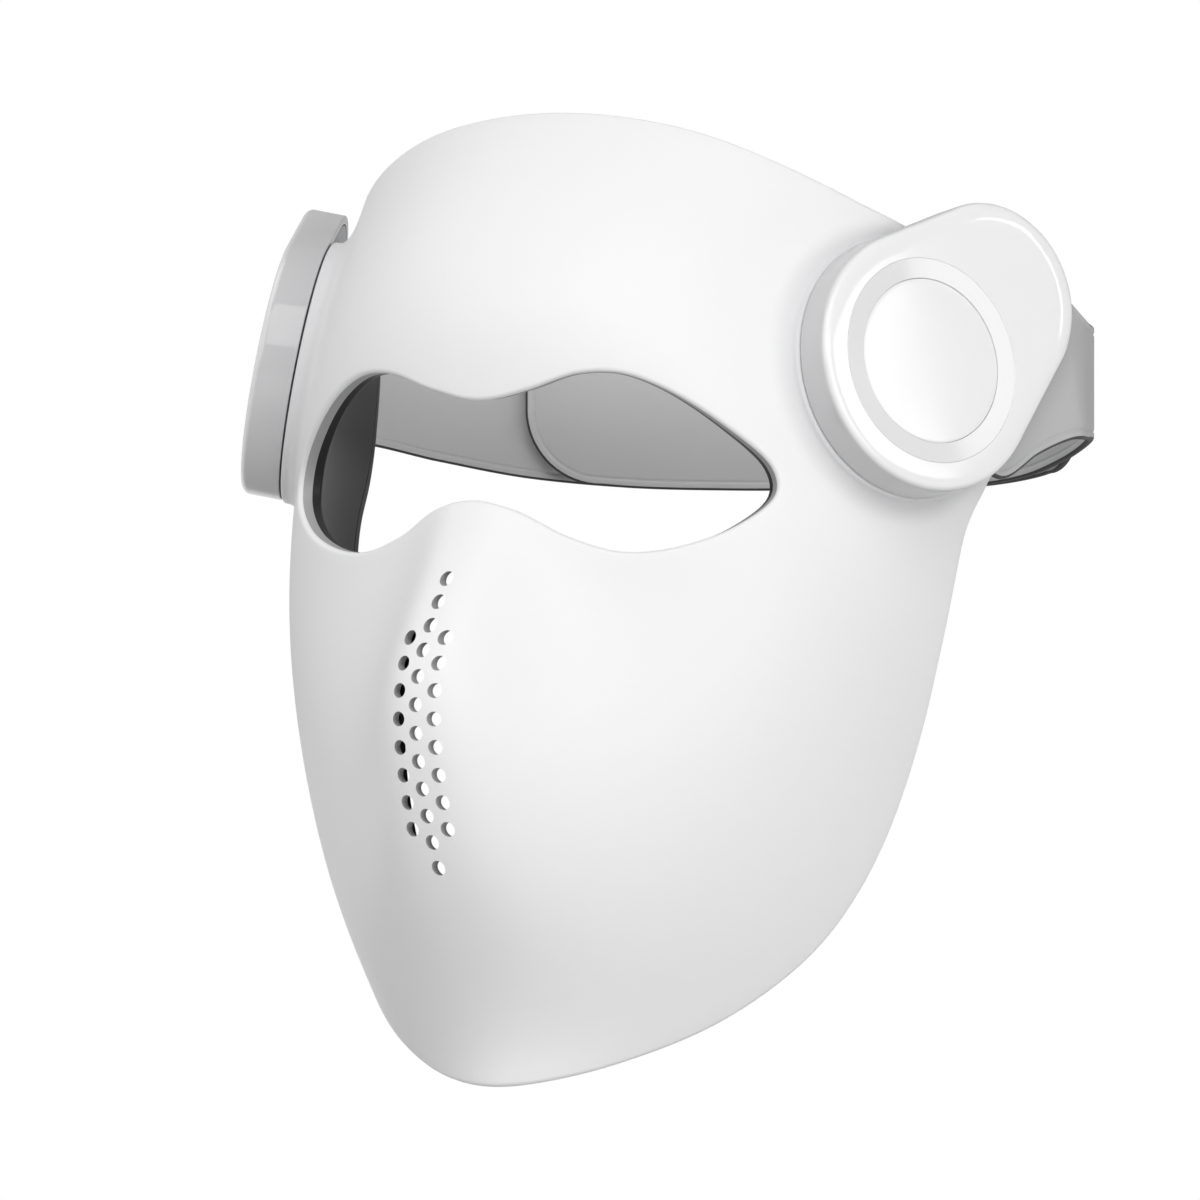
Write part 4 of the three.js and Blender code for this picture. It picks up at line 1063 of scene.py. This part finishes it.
liner = Skin()
liner_loops = [moved_edge(*loop, LIP_WIDTH + CLEARANCE) for loop in (edge_loop, eye_loop)]
liner_loops.append(turn_way(*slot_edge(SLOT_COUNT), False))
across, level, triangles, rings = filled(liner_loops, SKIN_SPACING * LINER_COARSER)
top = liner.add(skin_point((across, level), RIM_DEPTH - LINER_THICKNESS))
liner.add_faces(triangles.tolist())
under = liner.add(skin_point((across, level), RIM_DEPTH))
liner.add_faces((triangles + under[0]).tolist(), flipped=True)
for ring in rings:
    liner.strip([top[ring], under[ring]])
liner.piece("liner_skin", [liner_smoke], "mask_body", "liner", ["inner_liner"])

# %% [markdown]
# ## Where the lights are
# Four flexible strips carry the light chips behind the liner, and a clear window stands over each
# chip. The windows are low domes at the places of the chips: every second cell of a grid over each
# strip, staggered from row to row.

# %% Places of the lights
FACE_COLUMNS, FACE_ROWS = 12, 20
GRID_LOW, GRID_HIGH = -0.65, 0.405
COLUMN_POWER = 1.25
light_strips = (
    (-0.51, 0.51, 0.135, 0.27), (0.07, 0.64, -0.4, -0.11), (-0.64, -0.07, -0.4, -0.11),
    (-0.26, 0.26, -0.545, -0.455),
)
steps = np.arange(-FACE_COLUMNS, FACE_COLUMNS + 1) / FACE_COLUMNS
grid_across = GRID_REACH * np.sign(steps) * np.abs(steps) ** COLUMN_POWER
grid_level = np.linspace(GRID_LOW, GRID_HIGH, FACE_ROWS + 1) * SHELL_HEIGHT
dome_points, dome_ways = [], []
for left, right, low, high in light_strips:
    columns = grid_across[(grid_across >= left) & (grid_across <= right)]
    levels = grid_level[(grid_level >= low * SHELL_HEIGHT) & (grid_level <= high * SHELL_HEIGHT)]
    for row in range(len(levels) - 1):
        for column in range(row % 2, len(columns) - 1, 2):
            place = (np.array(columns[column:column + 2].mean()), np.array(levels[row:row + 2].mean()))
            dome_points.append(skin_point(place, RIM_DEPTH))
            dome_ways.append(-face_normal(*place))
print(len(dome_points), "lights")

# %% [markdown]
# A named attribute tells each point the way that the liner faces there. The tree reads it, turns a
# flattened ball that way, and sets one at each point.

# %% Light domes
tree, given, result = new_tree("light_domes", {
    "Dome Radius": ("NodeSocketFloat", 0.0022),
    "Dome Height": ("NodeSocketFloat", 0.0005),
    "Finish": ("NodeSocketMaterial", None),
})
ball = add_node(tree, "GeometryNodeMeshUVSphere", {"Segments": 24, "Rings": 10, "Radius": 1.0})
size = add_node(tree, "ShaderNodeCombineXYZ", {
    "X": given["Dome Radius"], "Y": given["Dome Radius"], "Z": given["Dome Height"],
})
way = add_node(tree, "GeometryNodeInputNamedAttribute", {"Name": "way"}, data_type="FLOAT_VECTOR")
turn = add_node(tree, "FunctionNodeAlignRotationToVector", {"Vector": way.outputs["Attribute"]}, axis="Z")
domes = add_node(tree, "GeometryNodeInstanceOnPoints", {
    "Points": given["Geometry"], "Instance": ball.outputs["Mesh"],
    "Rotation": turn.outputs["Rotation"], "Scale": size.outputs["Vector"],
})
feed(tree, result, realized(tree, domes.outputs["Instances"], given["Finish"]))

dome_amber = finish("clear_dome_over_light", (0.78, 0.62, 0.34), 0.12, polish=(400, 0.08, 0.18))
domes_piece = mesh_object("light_domes", dome_points)
dome_way = domes_piece.data.attributes.new("way", "FLOAT_VECTOR", "POINT")
dome_way.data.foreach_set("vector", np.asarray(dome_ways, np.float32).ravel())
apply_tree(domes_piece, tree, {"Finish": dome_amber})
dress(domes_piece, "mask_body")

# %% [markdown]
# ## The pods
# Each pod carries a teardrop cover: a lid with a softly rounded edge, round at the pivot and drawn
# out to a lug behind and above it. Its outline is the hull of two circles, and every ring of its
# skin is that outline drawn in, so the rounded edge follows it all the way round.

# %% Outline of a pod
POD_RADIUS, LUG_RADIUS = 0.0305, 0.023
LUG_BACK, LUG_UP = 0.021, 0.0145
MAIN_STEPS, LUG_STEPS, SIDE_STEPS = 84, 58, 10


def pod_outline(inset):
    """The hull of the pivot circle and the lug circle, drawn in by an inset: pairs of back, up."""
    main, lug = POD_RADIUS - inset, LUG_RADIUS - inset
    heading = math.atan2(LUG_UP, LUG_BACK)
    spread = math.acos((main - lug) / math.hypot(LUG_BACK, LUG_UP))
    first = circle(np.linspace(heading + spread, heading - spread + 2 * math.pi, MAIN_STEPS), main)
    second = circle(np.linspace(heading - spread, heading + spread, LUG_STEPS), lug) + (LUG_BACK, LUG_UP)
    share = np.arange(1, SIDE_STEPS)[:, None] / SIDE_STEPS
    down = first[-1] + (second[0] - first[-1]) * share
    home = second[-1] + (first[0] - second[-1]) * share
    return np.concatenate([first, down, second, home])


def pod_walls(skin, rings, side, closed=False):
    """Walls between the rings [outline, height] of a pod. Returns each ring's point numbers."""
    rows = [skin.add(pod_level(outline, height, side)) for outline, height in rings]
    if closed:
        rows.append(rows[0])
    skin.strip([row[::-1] for row in rows], flipped=side < 0)
    return rows


print("outline of", len(pod_outline(0)), "points, reaching back", pod_outline(0)[:, 0].max().round(4))

# %% [markdown]
# The edge of a cover isn't one round. A tight round takes up most of the turn, and a wide, gentle
# crown runs on into the flat face, which is why the highlight along it fades inwards.

# %% Covers
SEAM = 0.0004
COVER_LIP = 0.0003
COVER_TOP = 0.01
COVER_INSIDE = 0.0074
COVER_WALL = 0.002
COVER_BORE = 0.0195
COVER_EDGE, COVER_CROWN, EDGE_LEAN = 0.0019, 0.03, math.radians(7)
CROWN_RUN = 0.0037
RING_RADIUS = 0.024
RING_SEAT = 0.0016
RING_LINE = 0.00004
SEAT_BORDER, SEAT_EDGE = 0.0006, 0.0001
TIGHT_STEPS, GENTLE_STEPS = 9, 5


def crowned(wall_low, top, edge, crown):
    """A wall, a tight round and then a gentle crown: pairs of [in from the wall, height]."""
    low = top - crown * (1 - math.cos(EDGE_LEAN)) - edge * math.cos(EDGE_LEAN)
    reach = edge * (1 - math.sin(EDGE_LEAN)) + crown * math.sin(EDGE_LEAN)
    tight = [(edge * (1 - math.sin(t)), low + edge * math.cos(t))
             for t in np.linspace(math.pi / 2, EDGE_LEAN, TIGHT_STEPS)]
    gentle = [(reach - crown * math.sin(t), top - crown * (1 - math.cos(t)))
              for t in np.linspace(EDGE_LEAN, 0, GENTLE_STEPS)[1:]]
    return [(0, wall_low), *tight, *gentle]


def circle_like(outline, radius):
    """Points of a circle round the pivot, at the outline's own bearings."""
    return circle(np.arctan2(outline[:, 1], outline[:, 0]), radius)


def cover(name, side):
    skin, outline, seat = Skin(), pod_outline(0), RING_RADIUS + RING_LINE
    outside = [
        (COVER_LIP, SEAM), *round_profile((COVER_LIP, SEAM), (0, SEAM + COVER_LIP), (0, SEAM))[1:-1],
        *crowned(SEAM + COVER_LIP, COVER_TOP, COVER_EDGE, COVER_CROWN), (COVER_EDGE + CROWN_RUN, COVER_TOP),
    ]
    seating = [
        (seat + SEAT_BORDER, COVER_TOP), (seat + SEAT_EDGE, COVER_TOP), (seat, COVER_TOP - SEAT_EDGE),
        (seat, COVER_TOP - RING_SEAT), (COVER_BORE, COVER_TOP - RING_SEAT), (COVER_BORE, COVER_INSIDE),
    ]
    rings = [(pod_outline(inset), height) for inset, height in outside]
    rings += [(circle_like(outline, radius), height) for radius, height in seating]
    rings += [(pod_outline(COVER_WALL), height) for height in (COVER_INSIDE, SEAM)]
    pod_walls(skin, rings, side, closed=True)
    return skin.piece(name + "_cover_skin", [gloss_cover])


# %% [markdown]
# ## Slots in the covers
# Each cover has a slot in its side wall for the band, a little larger than the tang that the band
# is moulded on, and the right one has a hole for the charging socket in the end of its lug. Both
# are cut by closed blocks, so the walls of the openings have the cover's real thickness.

# %% Blocks to cut with
BAND_ROOT = 0.044
TANG_START, TANG_LENGTH = 0.0135, 0.031
TANG_LOW, TANG_TOP = 0.0023, 0.0043
tang_low_shares = ((0, -0.5), (0.25, -0.6), (0.62, -0.473), (0.87, -0.407), (1, -0.385))
tang_high_shares = ((0, 0.39), (0.62, 0.445), (1, 0.4))
SOCKET_WIDTH, SOCKET_HEIGHT, SOCKET_DEPTH = 0.009, 0.0033, 0.007
SOCKET_HEADING = math.radians(50)
ARM_PLATE_TOP = 0.002
SOCKET_LEVEL = ARM_PLATE_TOP + CLEARANCE + SOCKET_HEIGHT / 2
CUT_OVERRUN = 0.001


def pod_block(outline, low, high, side):
    """A closed block of one outline between two heights of a pod."""
    skin = Skin()
    rows = pod_walls(skin, [(outline, low), (outline, high)], side)
    skin.add_faces([rows[0][::-side].tolist(), rows[1][::side].tolist()])
    return skin.piece("block", [inner_grey])


def boolean(piece, cutter, operation):
    """Cuts a piece by another, which is then removed."""
    modifier = piece.modifiers.new("cut", "BOOLEAN")
    modifier.object, modifier.operation, modifier.solver = cutter, operation, "EXACT"
    keep_plain_mesh(piece)
    bpy.data.objects.remove(cutter)


def grown(outline, margin):
    run = unit(np.roll(outline, -1, 0) - np.roll(outline, 1, 0))
    return outline + np.stack([run[:, 1], -run[:, 0]], -1) * margin


def socket_block(side):
    way = np.array([math.cos(SOCKET_HEADING), math.sin(SOCKET_HEADING)])
    across = np.array([-way[1], way[0]]) * (SOCKET_WIDTH / 2 + CLEARANCE)
    half = SOCKET_HEIGHT / 2 + CLEARANCE
    ends = (LUG_RADIUS - SOCKET_DEPTH, LUG_RADIUS + CUT_OVERRUN)
    near, far = (np.array([LUG_BACK, LUG_UP]) + way * end for end in ends)
    outline = np.array([near - across, far - across, far + across, near + across])
    return pod_block(outline, SOCKET_LEVEL - half, SOCKET_LEVEL + half, side)


# %% [markdown]
# A boolean leaves the rest of the lid's faces as they are. The tang's outline is grown by a margin
# first, as a real slot is wider than the tang in it.

# %% Cut the covers
SLOT_MARGIN = 0.0007
POD_CREASE = 30
side_arm = {1: "left_arm", -1: "right_arm"}
tang_outline = np.array([*tang_low_shares, *tang_high_shares[::-1]]) * (TANG_LENGTH, BAND_ROOT)
slot_outline = grown(tang_outline + (TANG_START, 0), SLOT_MARGIN)
for name, side in SIDES.items():
    lid = cover(name, side)
    boolean(lid, pod_block(slot_outline, TANG_LOW - CLEARANCE, TANG_TOP + CLEARANCE, side), "DIFFERENCE")
    if side < 0:
        boolean(lid, socket_block(side), "DIFFERENCE")
    dress(lid, side_arm[side], [name + "_cover"], POD_CREASE)

# %% [markdown]
# ## Rings and discs
# A dished ring lies round a flat disc, which is the power button on the left and a plain cap on the
# right. They are turned profiles: a list of [radius, height] pairs spun about the pivot, like work
# on a lathe. The ring's inner edge lies lower, so it catches the light apart from the disc.

# %% Rings and discs
TURN_COUNT = 160
DISC_RADIUS = 0.0193
DISC_THICKNESS = 0.0022
DISC_UNDER_RING, DISC_UNDER_EDGE = 0.009, 0.0004
DISC_EDGE, DISC_CROWN = 0.0004, 0.005
RING_BORE = DISC_RADIUS + RING_LINE
RING_DROP = 0.00027
RING_EDGE = 0.0001
disc_top = COVER_TOP - CLEARANCE
disc_low = disc_top - DISC_THICKNESS
ring_low, ring_inner = COVER_TOP - RING_SEAT + CLEARANCE, COVER_TOP - RING_DROP
ring_profile = [
    (RING_BORE, ring_low), (RING_RADIUS, ring_low), (RING_RADIUS, COVER_TOP - RING_EDGE),
    (RING_RADIUS - RING_EDGE, COVER_TOP), (RING_BORE + RING_EDGE, ring_inner),
    (RING_BORE, ring_inner - RING_EDGE),
]
disc_outside = crowned(disc_low + DISC_UNDER_EDGE, disc_top, DISC_EDGE, DISC_CROWN)
disc_profile = [
    (0, disc_low), (DISC_UNDER_RING, disc_low), (DISC_RADIUS - DISC_UNDER_EDGE, disc_low),
    *((DISC_RADIUS - inset, height) for inset, height in disc_outside),
    (DISC_RADIUS / 2, disc_top), (0, disc_top),
]


def turned(name, profile, side, material, body, replaced):
    """A profile spun about a pivot: a ring where it stays off the axis, or else a closed disc."""
    skin, turn = Skin(), full_turn(TURN_COUNT)
    rings = [(circle(turn, radius), height) for radius, height in profile if radius > 0]
    hollow = profile[0][0] > 0
    rows = pod_walls(skin, rings, side, closed=hollow)
    if not hollow:
        skin.close(rows[0][::-1], from_pod([0, 0, profile[0][1]], side), flipped=side > 0)
        skin.close(rows[-1][::-1], from_pod([0, 0, profile[-1][1]], side), flipped=side < 0)
    skin.piece(name, [material], body, "shell", [replaced], POD_CREASE)


# Each ring is gloss white painted darker, as painted shade.
for name, side in SIDES.items():
    turned(name + "_ring_skin", ring_profile, side, gloss_ring_painted_shade, side_arm[side], name + "_trim_ring")
turned("button_skin", disc_profile, 1, gloss_white, "button", "power_button")
turned("cap_skin", disc_profile, -1, gloss_white, "mask_body", "right_cap")

# %% [markdown]
# ## The line of the band
# One band goes round the back of the head, made of two lengths that overlap: the left one lies
# inside and the right one outside. Each comes out of the slot of its pod, narrows to a neck and
# widens again round the back. Its middle line is a curve through a few knots, which first lies in
# the pod's plane and then settles upright behind the head.

# %% The line of the band
BAND_THICKNESS = 0.002
BAND_REACH = 0.1035
JOINT_GAP = 0.0008
BAND_START = TANG_START + TANG_LENGTH + JOINT_GAP
BAND_LEVEL = (TANG_LOW + TANG_TOP) / 2
PATCH_THICKNESS, PATCH_GAP = 0.00035, 0.0002
LAP_SHIFT = BAND_THICKNESS / 2 + PATCH_THICKNESS + PATCH_GAP * 3 / 2
START_HALF, START_RISE = 0.392, 0.008
band_shares = (
    (1.012, 0.081, -0.03, 0.335), (1.005, 0.178, -0.057, 0.303), (0.963, 0.324, -0.068, 0.309),
    (0.856, 0.487, -0.07, 0.386), (0.677, 0.694, -0.075, 0.477), (0.458, 0.867, -0.075, 0.53),
    (0.219, 0.97, -0.075, 0.545), (0, 1, -0.075, 0.545),
)
EXTRA_KNOTS = {1: 3, -1: 4}
SETTLE_KNOTS = 2
STATIONS_PER_SPAN = 30


def band_knots(side):
    """Centres and half widths of the band, from the tang to the free end."""
    start = from_pod([BAND_START, START_RISE * BAND_ROOT, BAND_LEVEL], side)
    knots = [(*start, START_HALF * BAND_ROOT)]
    for out, rear, rise, half in band_shares:
        y = start[1] + rear * (BAND_REACH - start[1])
        knots.append((out * start[0], y, rise * BAND_ROOT, half * BAND_ROOT))
    for i in range(1, EXTRA_KNOTS[side] + 1):
        x, y, z, half = knots[len(band_shares) - i]
        knots.append((-x, y, z, half))
    return np.array(knots)


class BandPath:
    """The middle line of a band, with its up, its normal and its half width at any run along it."""

    def __init__(self, side):
        knots = band_knots(side)
        centre = smooth_curve(knots[:, :3], per_span=STATIONS_PER_SPAN)
        half = smooth_curve(knots[:, 3:], per_span=STATIONS_PER_SPAN, power=0)[:, 0]
        settled = np.clip(np.arange(len(centre)) / STATIONS_PER_SPAN / SETTLE_KNOTS, 0, 1)
        settled = (settled * settled * (3 - 2 * settled))[:, None]
        up = unit(pod_axes(side)[1] * (1 - settled) + np.array([0, 0, 1]) * settled)
        normal = unit(np.cross(unit(np.gradient(centre, axis=0)), up)) * side
        centre = centre - normal * settled * LAP_SHIFT * side
        self.run = run_along(centre)
        self.rows = np.column_stack([centre, up, normal, half])

    def at(self, run):
        """Rows at runs along the line; before its start it goes straight on."""
        rows = np.stack([np.interp(run, self.run, column) for column in self.rows.T], -1)
        along = unit(self.rows[1, :3] - self.rows[0, :3])
        rows[:, :3] += np.minimum(run, 0)[:, None] * along
        return rows

    def place(self, run, across, outward):
        rows = self.at(run)
        return rows[:, :3] + unit(rows[:, 3:6]) * across[:, None] + unit(rows[:, 6:9]) * outward[:, None]


paths = {side: BandPath(side) for side in (1, -1)}
print("band lengths", [round(float(path.run[-1]), 3) for path in paths.values()])

# %% [markdown]
# ## The border of the band
# The border runs along the low edge, round the two corners of the free end and back along the high
# edge. At the root it follows the tang into the cover and ends in an arc that the cover hides.

# %% The border of the band
BAND_CORNER, CORNER_STEPS = 0.018, 18
ARC_COUNT, ROOT_COUNT = 30, 26
TANG_STEPS = 40
HIDDEN_RADIUS = 0.028
RUN_STEP = 0.0012


def root_edge(shares, end, inset, way):
    """The part of a tang edge that shows, drawn in by an inset, from the hidden arc to the band."""
    points = [(TANG_START + along * TANG_LENGTH, up * BAND_ROOT) for along, up in shares]
    back, up = smooth_curve([*points, (BAND_START, end)], per_span=TANG_STEPS).T
    moved = up + way * inset * np.sqrt(1 + np.gradient(up, back)**2)
    start = np.argmax(np.hypot(back, moved) >= HIDDEN_RADIUS + inset)
    shown = np.linspace(back[start], BAND_START, ROOT_COUNT, endpoint=False)
    return np.stack([shown, np.interp(shown, back, moved)], -1)


def band_loop(side, inset, level):
    """The border at an inset and a level: low root edge, low edge, end, high edge, root and arc."""
    path, middle, half = paths[side], START_RISE * BAND_ROOT, START_HALF * BAND_ROOT
    low_root = root_edge(tang_low_shares, middle - half, inset, 1)
    high_root = root_edge(tang_high_shares, middle + half, inset, -1)[::-1]
    angles = np.arctan2(*np.array([high_root[-1], low_root[0]]).T[::-1])
    arc = circle(np.linspace(*angles, ARC_COUNT + 2)[1:-1], HIDDEN_RADIUS + inset)
    corner_start = path.run[-1] - BAND_CORNER
    straight = np.arange(0, corner_start, RUN_STEP)
    tip = path.at(np.array([corner_start]))[0, 9]
    corner = circle(np.linspace(-math.pi / 2, 0, CORNER_STEPS), BAND_CORNER - inset)
    run = np.concatenate([straight, corner_start + corner[:, 0]])
    across = np.concatenate([inset - path.at(straight)[:, 9], corner[:, 1] - tip + BAND_CORNER])
    free = path.place(np.concatenate([run, run[::-1]]), np.concatenate([across, -across[::-1]]),
                      np.full(2 * len(run), level))
    low, high, hidden = (pod_level(flat, BAND_LEVEL + level, side) for flat in (low_root, high_root, arc))
    return np.concatenate([low, free, high, hidden]), len(run)


# %% [markdown]
# ## The bands
# The section of a band is the same all the way: a rounded edge, a fine groove that follows the
# border, and a flat face. So a ring for each row of the section goes round the whole border, and
# rungs fill the flat faces. The outside is grey, the paler inner face is painted light and the dark
# edge is painted shade.

# %% Build the bands
BAND_ROUND, BAND_ROUND_STEPS = 0.0008, 6
GROOVE_FROM_EDGE, GROOVE_WIDTH, GROOVE_DEPTH = 0.002, 0.0007, 0.00022
groove_shares = ((-1.6, 0), (-1, 0.2), (-0.5, 1), (0.5, 1), (1, 0.2), (1.6, 0))
# The inner face takes painted light and the edge rows take painted shade.
INSIDE_PAINTED_LIGHT, EDGE_PAINTED_SHADE = 1, 2
EDGE_ROWS = 5
BAND_CREASE = 35


def band_section():
    """Distances in from the border and levels above the middle: a rounded edge and a groove."""
    flat, half = BAND_THICKNESS / 2, GROOVE_WIDTH / 2
    edge = [(BAND_ROUND * (1 - math.cos(t)), flat - BAND_ROUND + BAND_ROUND * math.sin(t))
            for t in np.linspace(0, math.pi / 2, BAND_ROUND_STEPS)]
    groove = [(GROOVE_FROM_EDGE + half * out, flat - GROOVE_DEPTH * down) for out, down in groove_shares]
    return edge + groove


def band(name, side):
    skin, faces = Skin(), {}
    for face in (-1, 1):
        loops = [band_loop(side, inset, face * level) for inset, level in band_section()]
        faces[face] = [skin.add(points) for points, _ in loops]
        run_count = loops[0][1]
    rows = [*faces[-1][::-1], *faces[1]]
    low_edge, high_edge = len(faces[1]) - EDGE_ROWS, len(faces[1]) + EDGE_ROWS - 1
    skin.strip(rows[:low_edge + 1], flipped=side > 0, finish=INSIDE_PAINTED_LIGHT)
    skin.strip(rows[low_edge:high_edge + 1], flipped=side > 0, finish=EDGE_PAINTED_SHADE)
    skin.strip(rows[high_edge:], flipped=side > 0)
    last = ROOT_COUNT + 2 * run_count - 1
    for face, rings in faces.items():
        ring = rings[-1]
        rungs = [[ring[ROOT_COUNT + i], ring[ROOT_COUNT + i + 1], ring[last - i - 1], ring[last - i]]
                 for i in range(run_count - 1)]
        rungs.append([*ring[:ROOT_COUNT + 1], *ring[last:]])
        skin.add_faces(rungs, flipped=face * side < 0, finish=INSIDE_PAINTED_LIGHT if face < 0 else 0)
    materials = [band_grey, band_inside_painted_light, band_edge_painted_shade]
    skin.piece(name + "_band", materials, "head_strap", "strap", [name + "_strap"], BAND_CREASE)


for name, side in SIDES.items():
    band(name, side)

# %% [markdown]
# ## The tangs
# The tang that the screws hold stays with the arm. It is the solid tang, cut back to where the
# cover hides it, so that the band runs on into the cover without a seam.

# %% Tangs inside the covers
DRUM_COUNT = 96
drum = circle(full_turn(DRUM_COUNT), HIDDEN_RADIUS - CLEARANCE)
for name, side in SIDES.items():
    solid = frame["nodes"][name + "_strap_tang"]
    tang = add_object(name + "_tang_core", solid.data.copy())
    tang.matrix_world = solid.matrix_world
    boolean(tang, pod_block(drum, 0, COVER_TOP, side), "INTERSECT")
    dress(tang, side_arm[side], [name + "_strap_tang"], POD_CREASE)

# %% [markdown]
# ## Floor
# The product floats over a pale floor that fades into white. A real studio does that with a curved
# sweep. Here the floor gives off white, to the camera and to reflections alone, more and more with
# the distance from its middle, where the object's shadow stays.

# %% Floor
FLOOR_LEVEL, FLOOR_RADIUS, FLOOR_CORNERS = -0.205, 3.0, 96
FLOOR_SOLID, FLOOR_FADED = 0.3, 0.44

floor_rim = circle(full_turn(FLOOR_CORNERS), FLOOR_RADIUS)
floor_points = np.column_stack([floor_rim, np.full(FLOOR_CORNERS, FLOOR_LEVEL)])
floor = mesh_object("floor", floor_points, [tuple(range(FLOOR_CORNERS))])
pale_floor = finish("pale_floor", (0.68, 0.68, 0.68), 0.7)
tree = pale_floor.node_tree
place = add_node(tree, "ShaderNodeTexCoord")
reach = vector(tree, "LENGTH", vector(tree, "MULTIPLY", place.outputs["Object"], (1, 1, 0)))
rays = add_node(tree, "ShaderNodeLightPath").outputs
seen = number(tree, "MAXIMUM", rays["Is Camera Ray"], rays["Is Glossy Ray"])
white = add_node(tree, "ShaderNodeEmission")
mix = add_node(tree, "ShaderNodeMixShader", {
    0: number(tree, "MULTIPLY", seen, ranged(tree, reach, (FLOOR_SOLID, FLOOR_FADED))),
    1: tree.nodes["Principled BSDF"].outputs["BSDF"], 2: white.outputs["Emission"],
})
feed(tree, tree.nodes["Material Output"].inputs["Surface"], mix.outputs["Shader"])
floor.data.materials.append(pale_floor)
print("floor at", FLOOR_LEVEL)

# %% [markdown]
# ## World
# The background is white, but a white world would light the object flat from all round. Only the
# camera sees it at full strength, reflections see it a little over half as bright, and the object
# gets a low fill.

# %% World
WORLD_ON_OBJECT, WORLD_SEEN = 0.17, 1.0
REFLECTED_SHARE = 0.5

world = bpy.data.worlds.new("studio")
scene.world = world
world.use_nodes = True
tree = world.node_tree
back = tree.nodes["Background"].inputs
rays = add_node(tree, "ShaderNodeLightPath").outputs
reflected = number(tree, "MULTIPLY", rays["Is Glossy Ray"], REFLECTED_SHARE)
seen = number(tree, "MAXIMUM", rays["Is Camera Ray"], reflected)
feed(tree, back["Strength"], ranged(tree, seen, target=(WORLD_ON_OBJECT, WORLD_SEEN)))
back["Color"].default_value = (1, 1, 1, 1)
print("world on the object", WORLD_ON_OBJECT, "and seen", WORLD_SEEN)

# %% [markdown]
# ## Lamps
# Four large soft lamps stand round the object, as a product studio's softboxes do: one above the
# camera, one low at its right, one at its left, and one high at the left rear. Their size keeps the
# shadows soft.

# %% Lamps
LAMP_SIZE, LAMP_DISTANCE = 1.2, 1.8
studio_lamps = {
    "front": (0, 40, 10.5), "right": (35, 10, 12.4), "left": (-50, 30, 8), "left_rear": (-110, 55, 7),
}


def soft_lamp(name, place, target, size, power):
    """A rectangular lamp at a place, turned to a target."""
    lamp = bpy.data.lights.new(name, "AREA")
    lamp.shape = "RECTANGLE"
    lamp.size, lamp.size_y = size
    lamp.energy = power
    made = add_object(name, lamp)
    made.location = place
    look_along(made, target - place)


def studio_place(heading, rise):
    """A place round the object: heading from the camera's way, rise above level."""
    turn, up = VIEW_TURN + math.radians(heading), math.radians(rise)
    way = Vector((math.sin(turn) * math.cos(up), -math.cos(turn) * math.cos(up), math.sin(up)))
    return aim + way * LAMP_DISTANCE


for name, (heading, rise, power) in studio_lamps.items():
    soft_lamp(name, studio_place(heading, rise), aim, (LAMP_SIZE, LAMP_SIZE), power)
print("lamps", list(studio_lamps))

# %% [markdown]
# Three small lamps bring out the finish. A panel stands where the left pod's flat faces mirror it
# as a soft gradient, and two narrow strips draw a thin highlight along the pod's edges.

# %% Small lamps
pod_face = Vector(from_pod([0, 0, COVER_TOP], 1))
lug_face = Vector(from_pod([LUG_BACK, LUG_UP, COVER_TOP], 1))
back_way, up_way, out_way = (Vector(way) for way in pod_axes(1))
small_lamps = (
    ("pod_panel", pod_face, (-5.5, -4), 0.7, (0.17, 0.17), 0.32),
    ("edge_light", lug_face, (6.5, 3.2), 0.8, (0.02, 0.13), 0.065),
    ("top_light", lug_face, (3.2, 8), 0.8, (0.09, 0.02), 0.045),
)


def mirrored(back, up):
    """The way that the camera sees in the pod's face, leaned by angles in degrees."""
    normal = (out_way + back_way * math.radians(back) / 2 + up_way * math.radians(up) / 2).normalized()
    return normal * (2 * normal.dot(toward_camera)) - toward_camera


for name, target, lean, distance, size, power in small_lamps:
    soft_lamp(name, target + mirrored(*lean) * distance, target, size, power)
print("small lamps", [name for name, *_ in small_lamps])
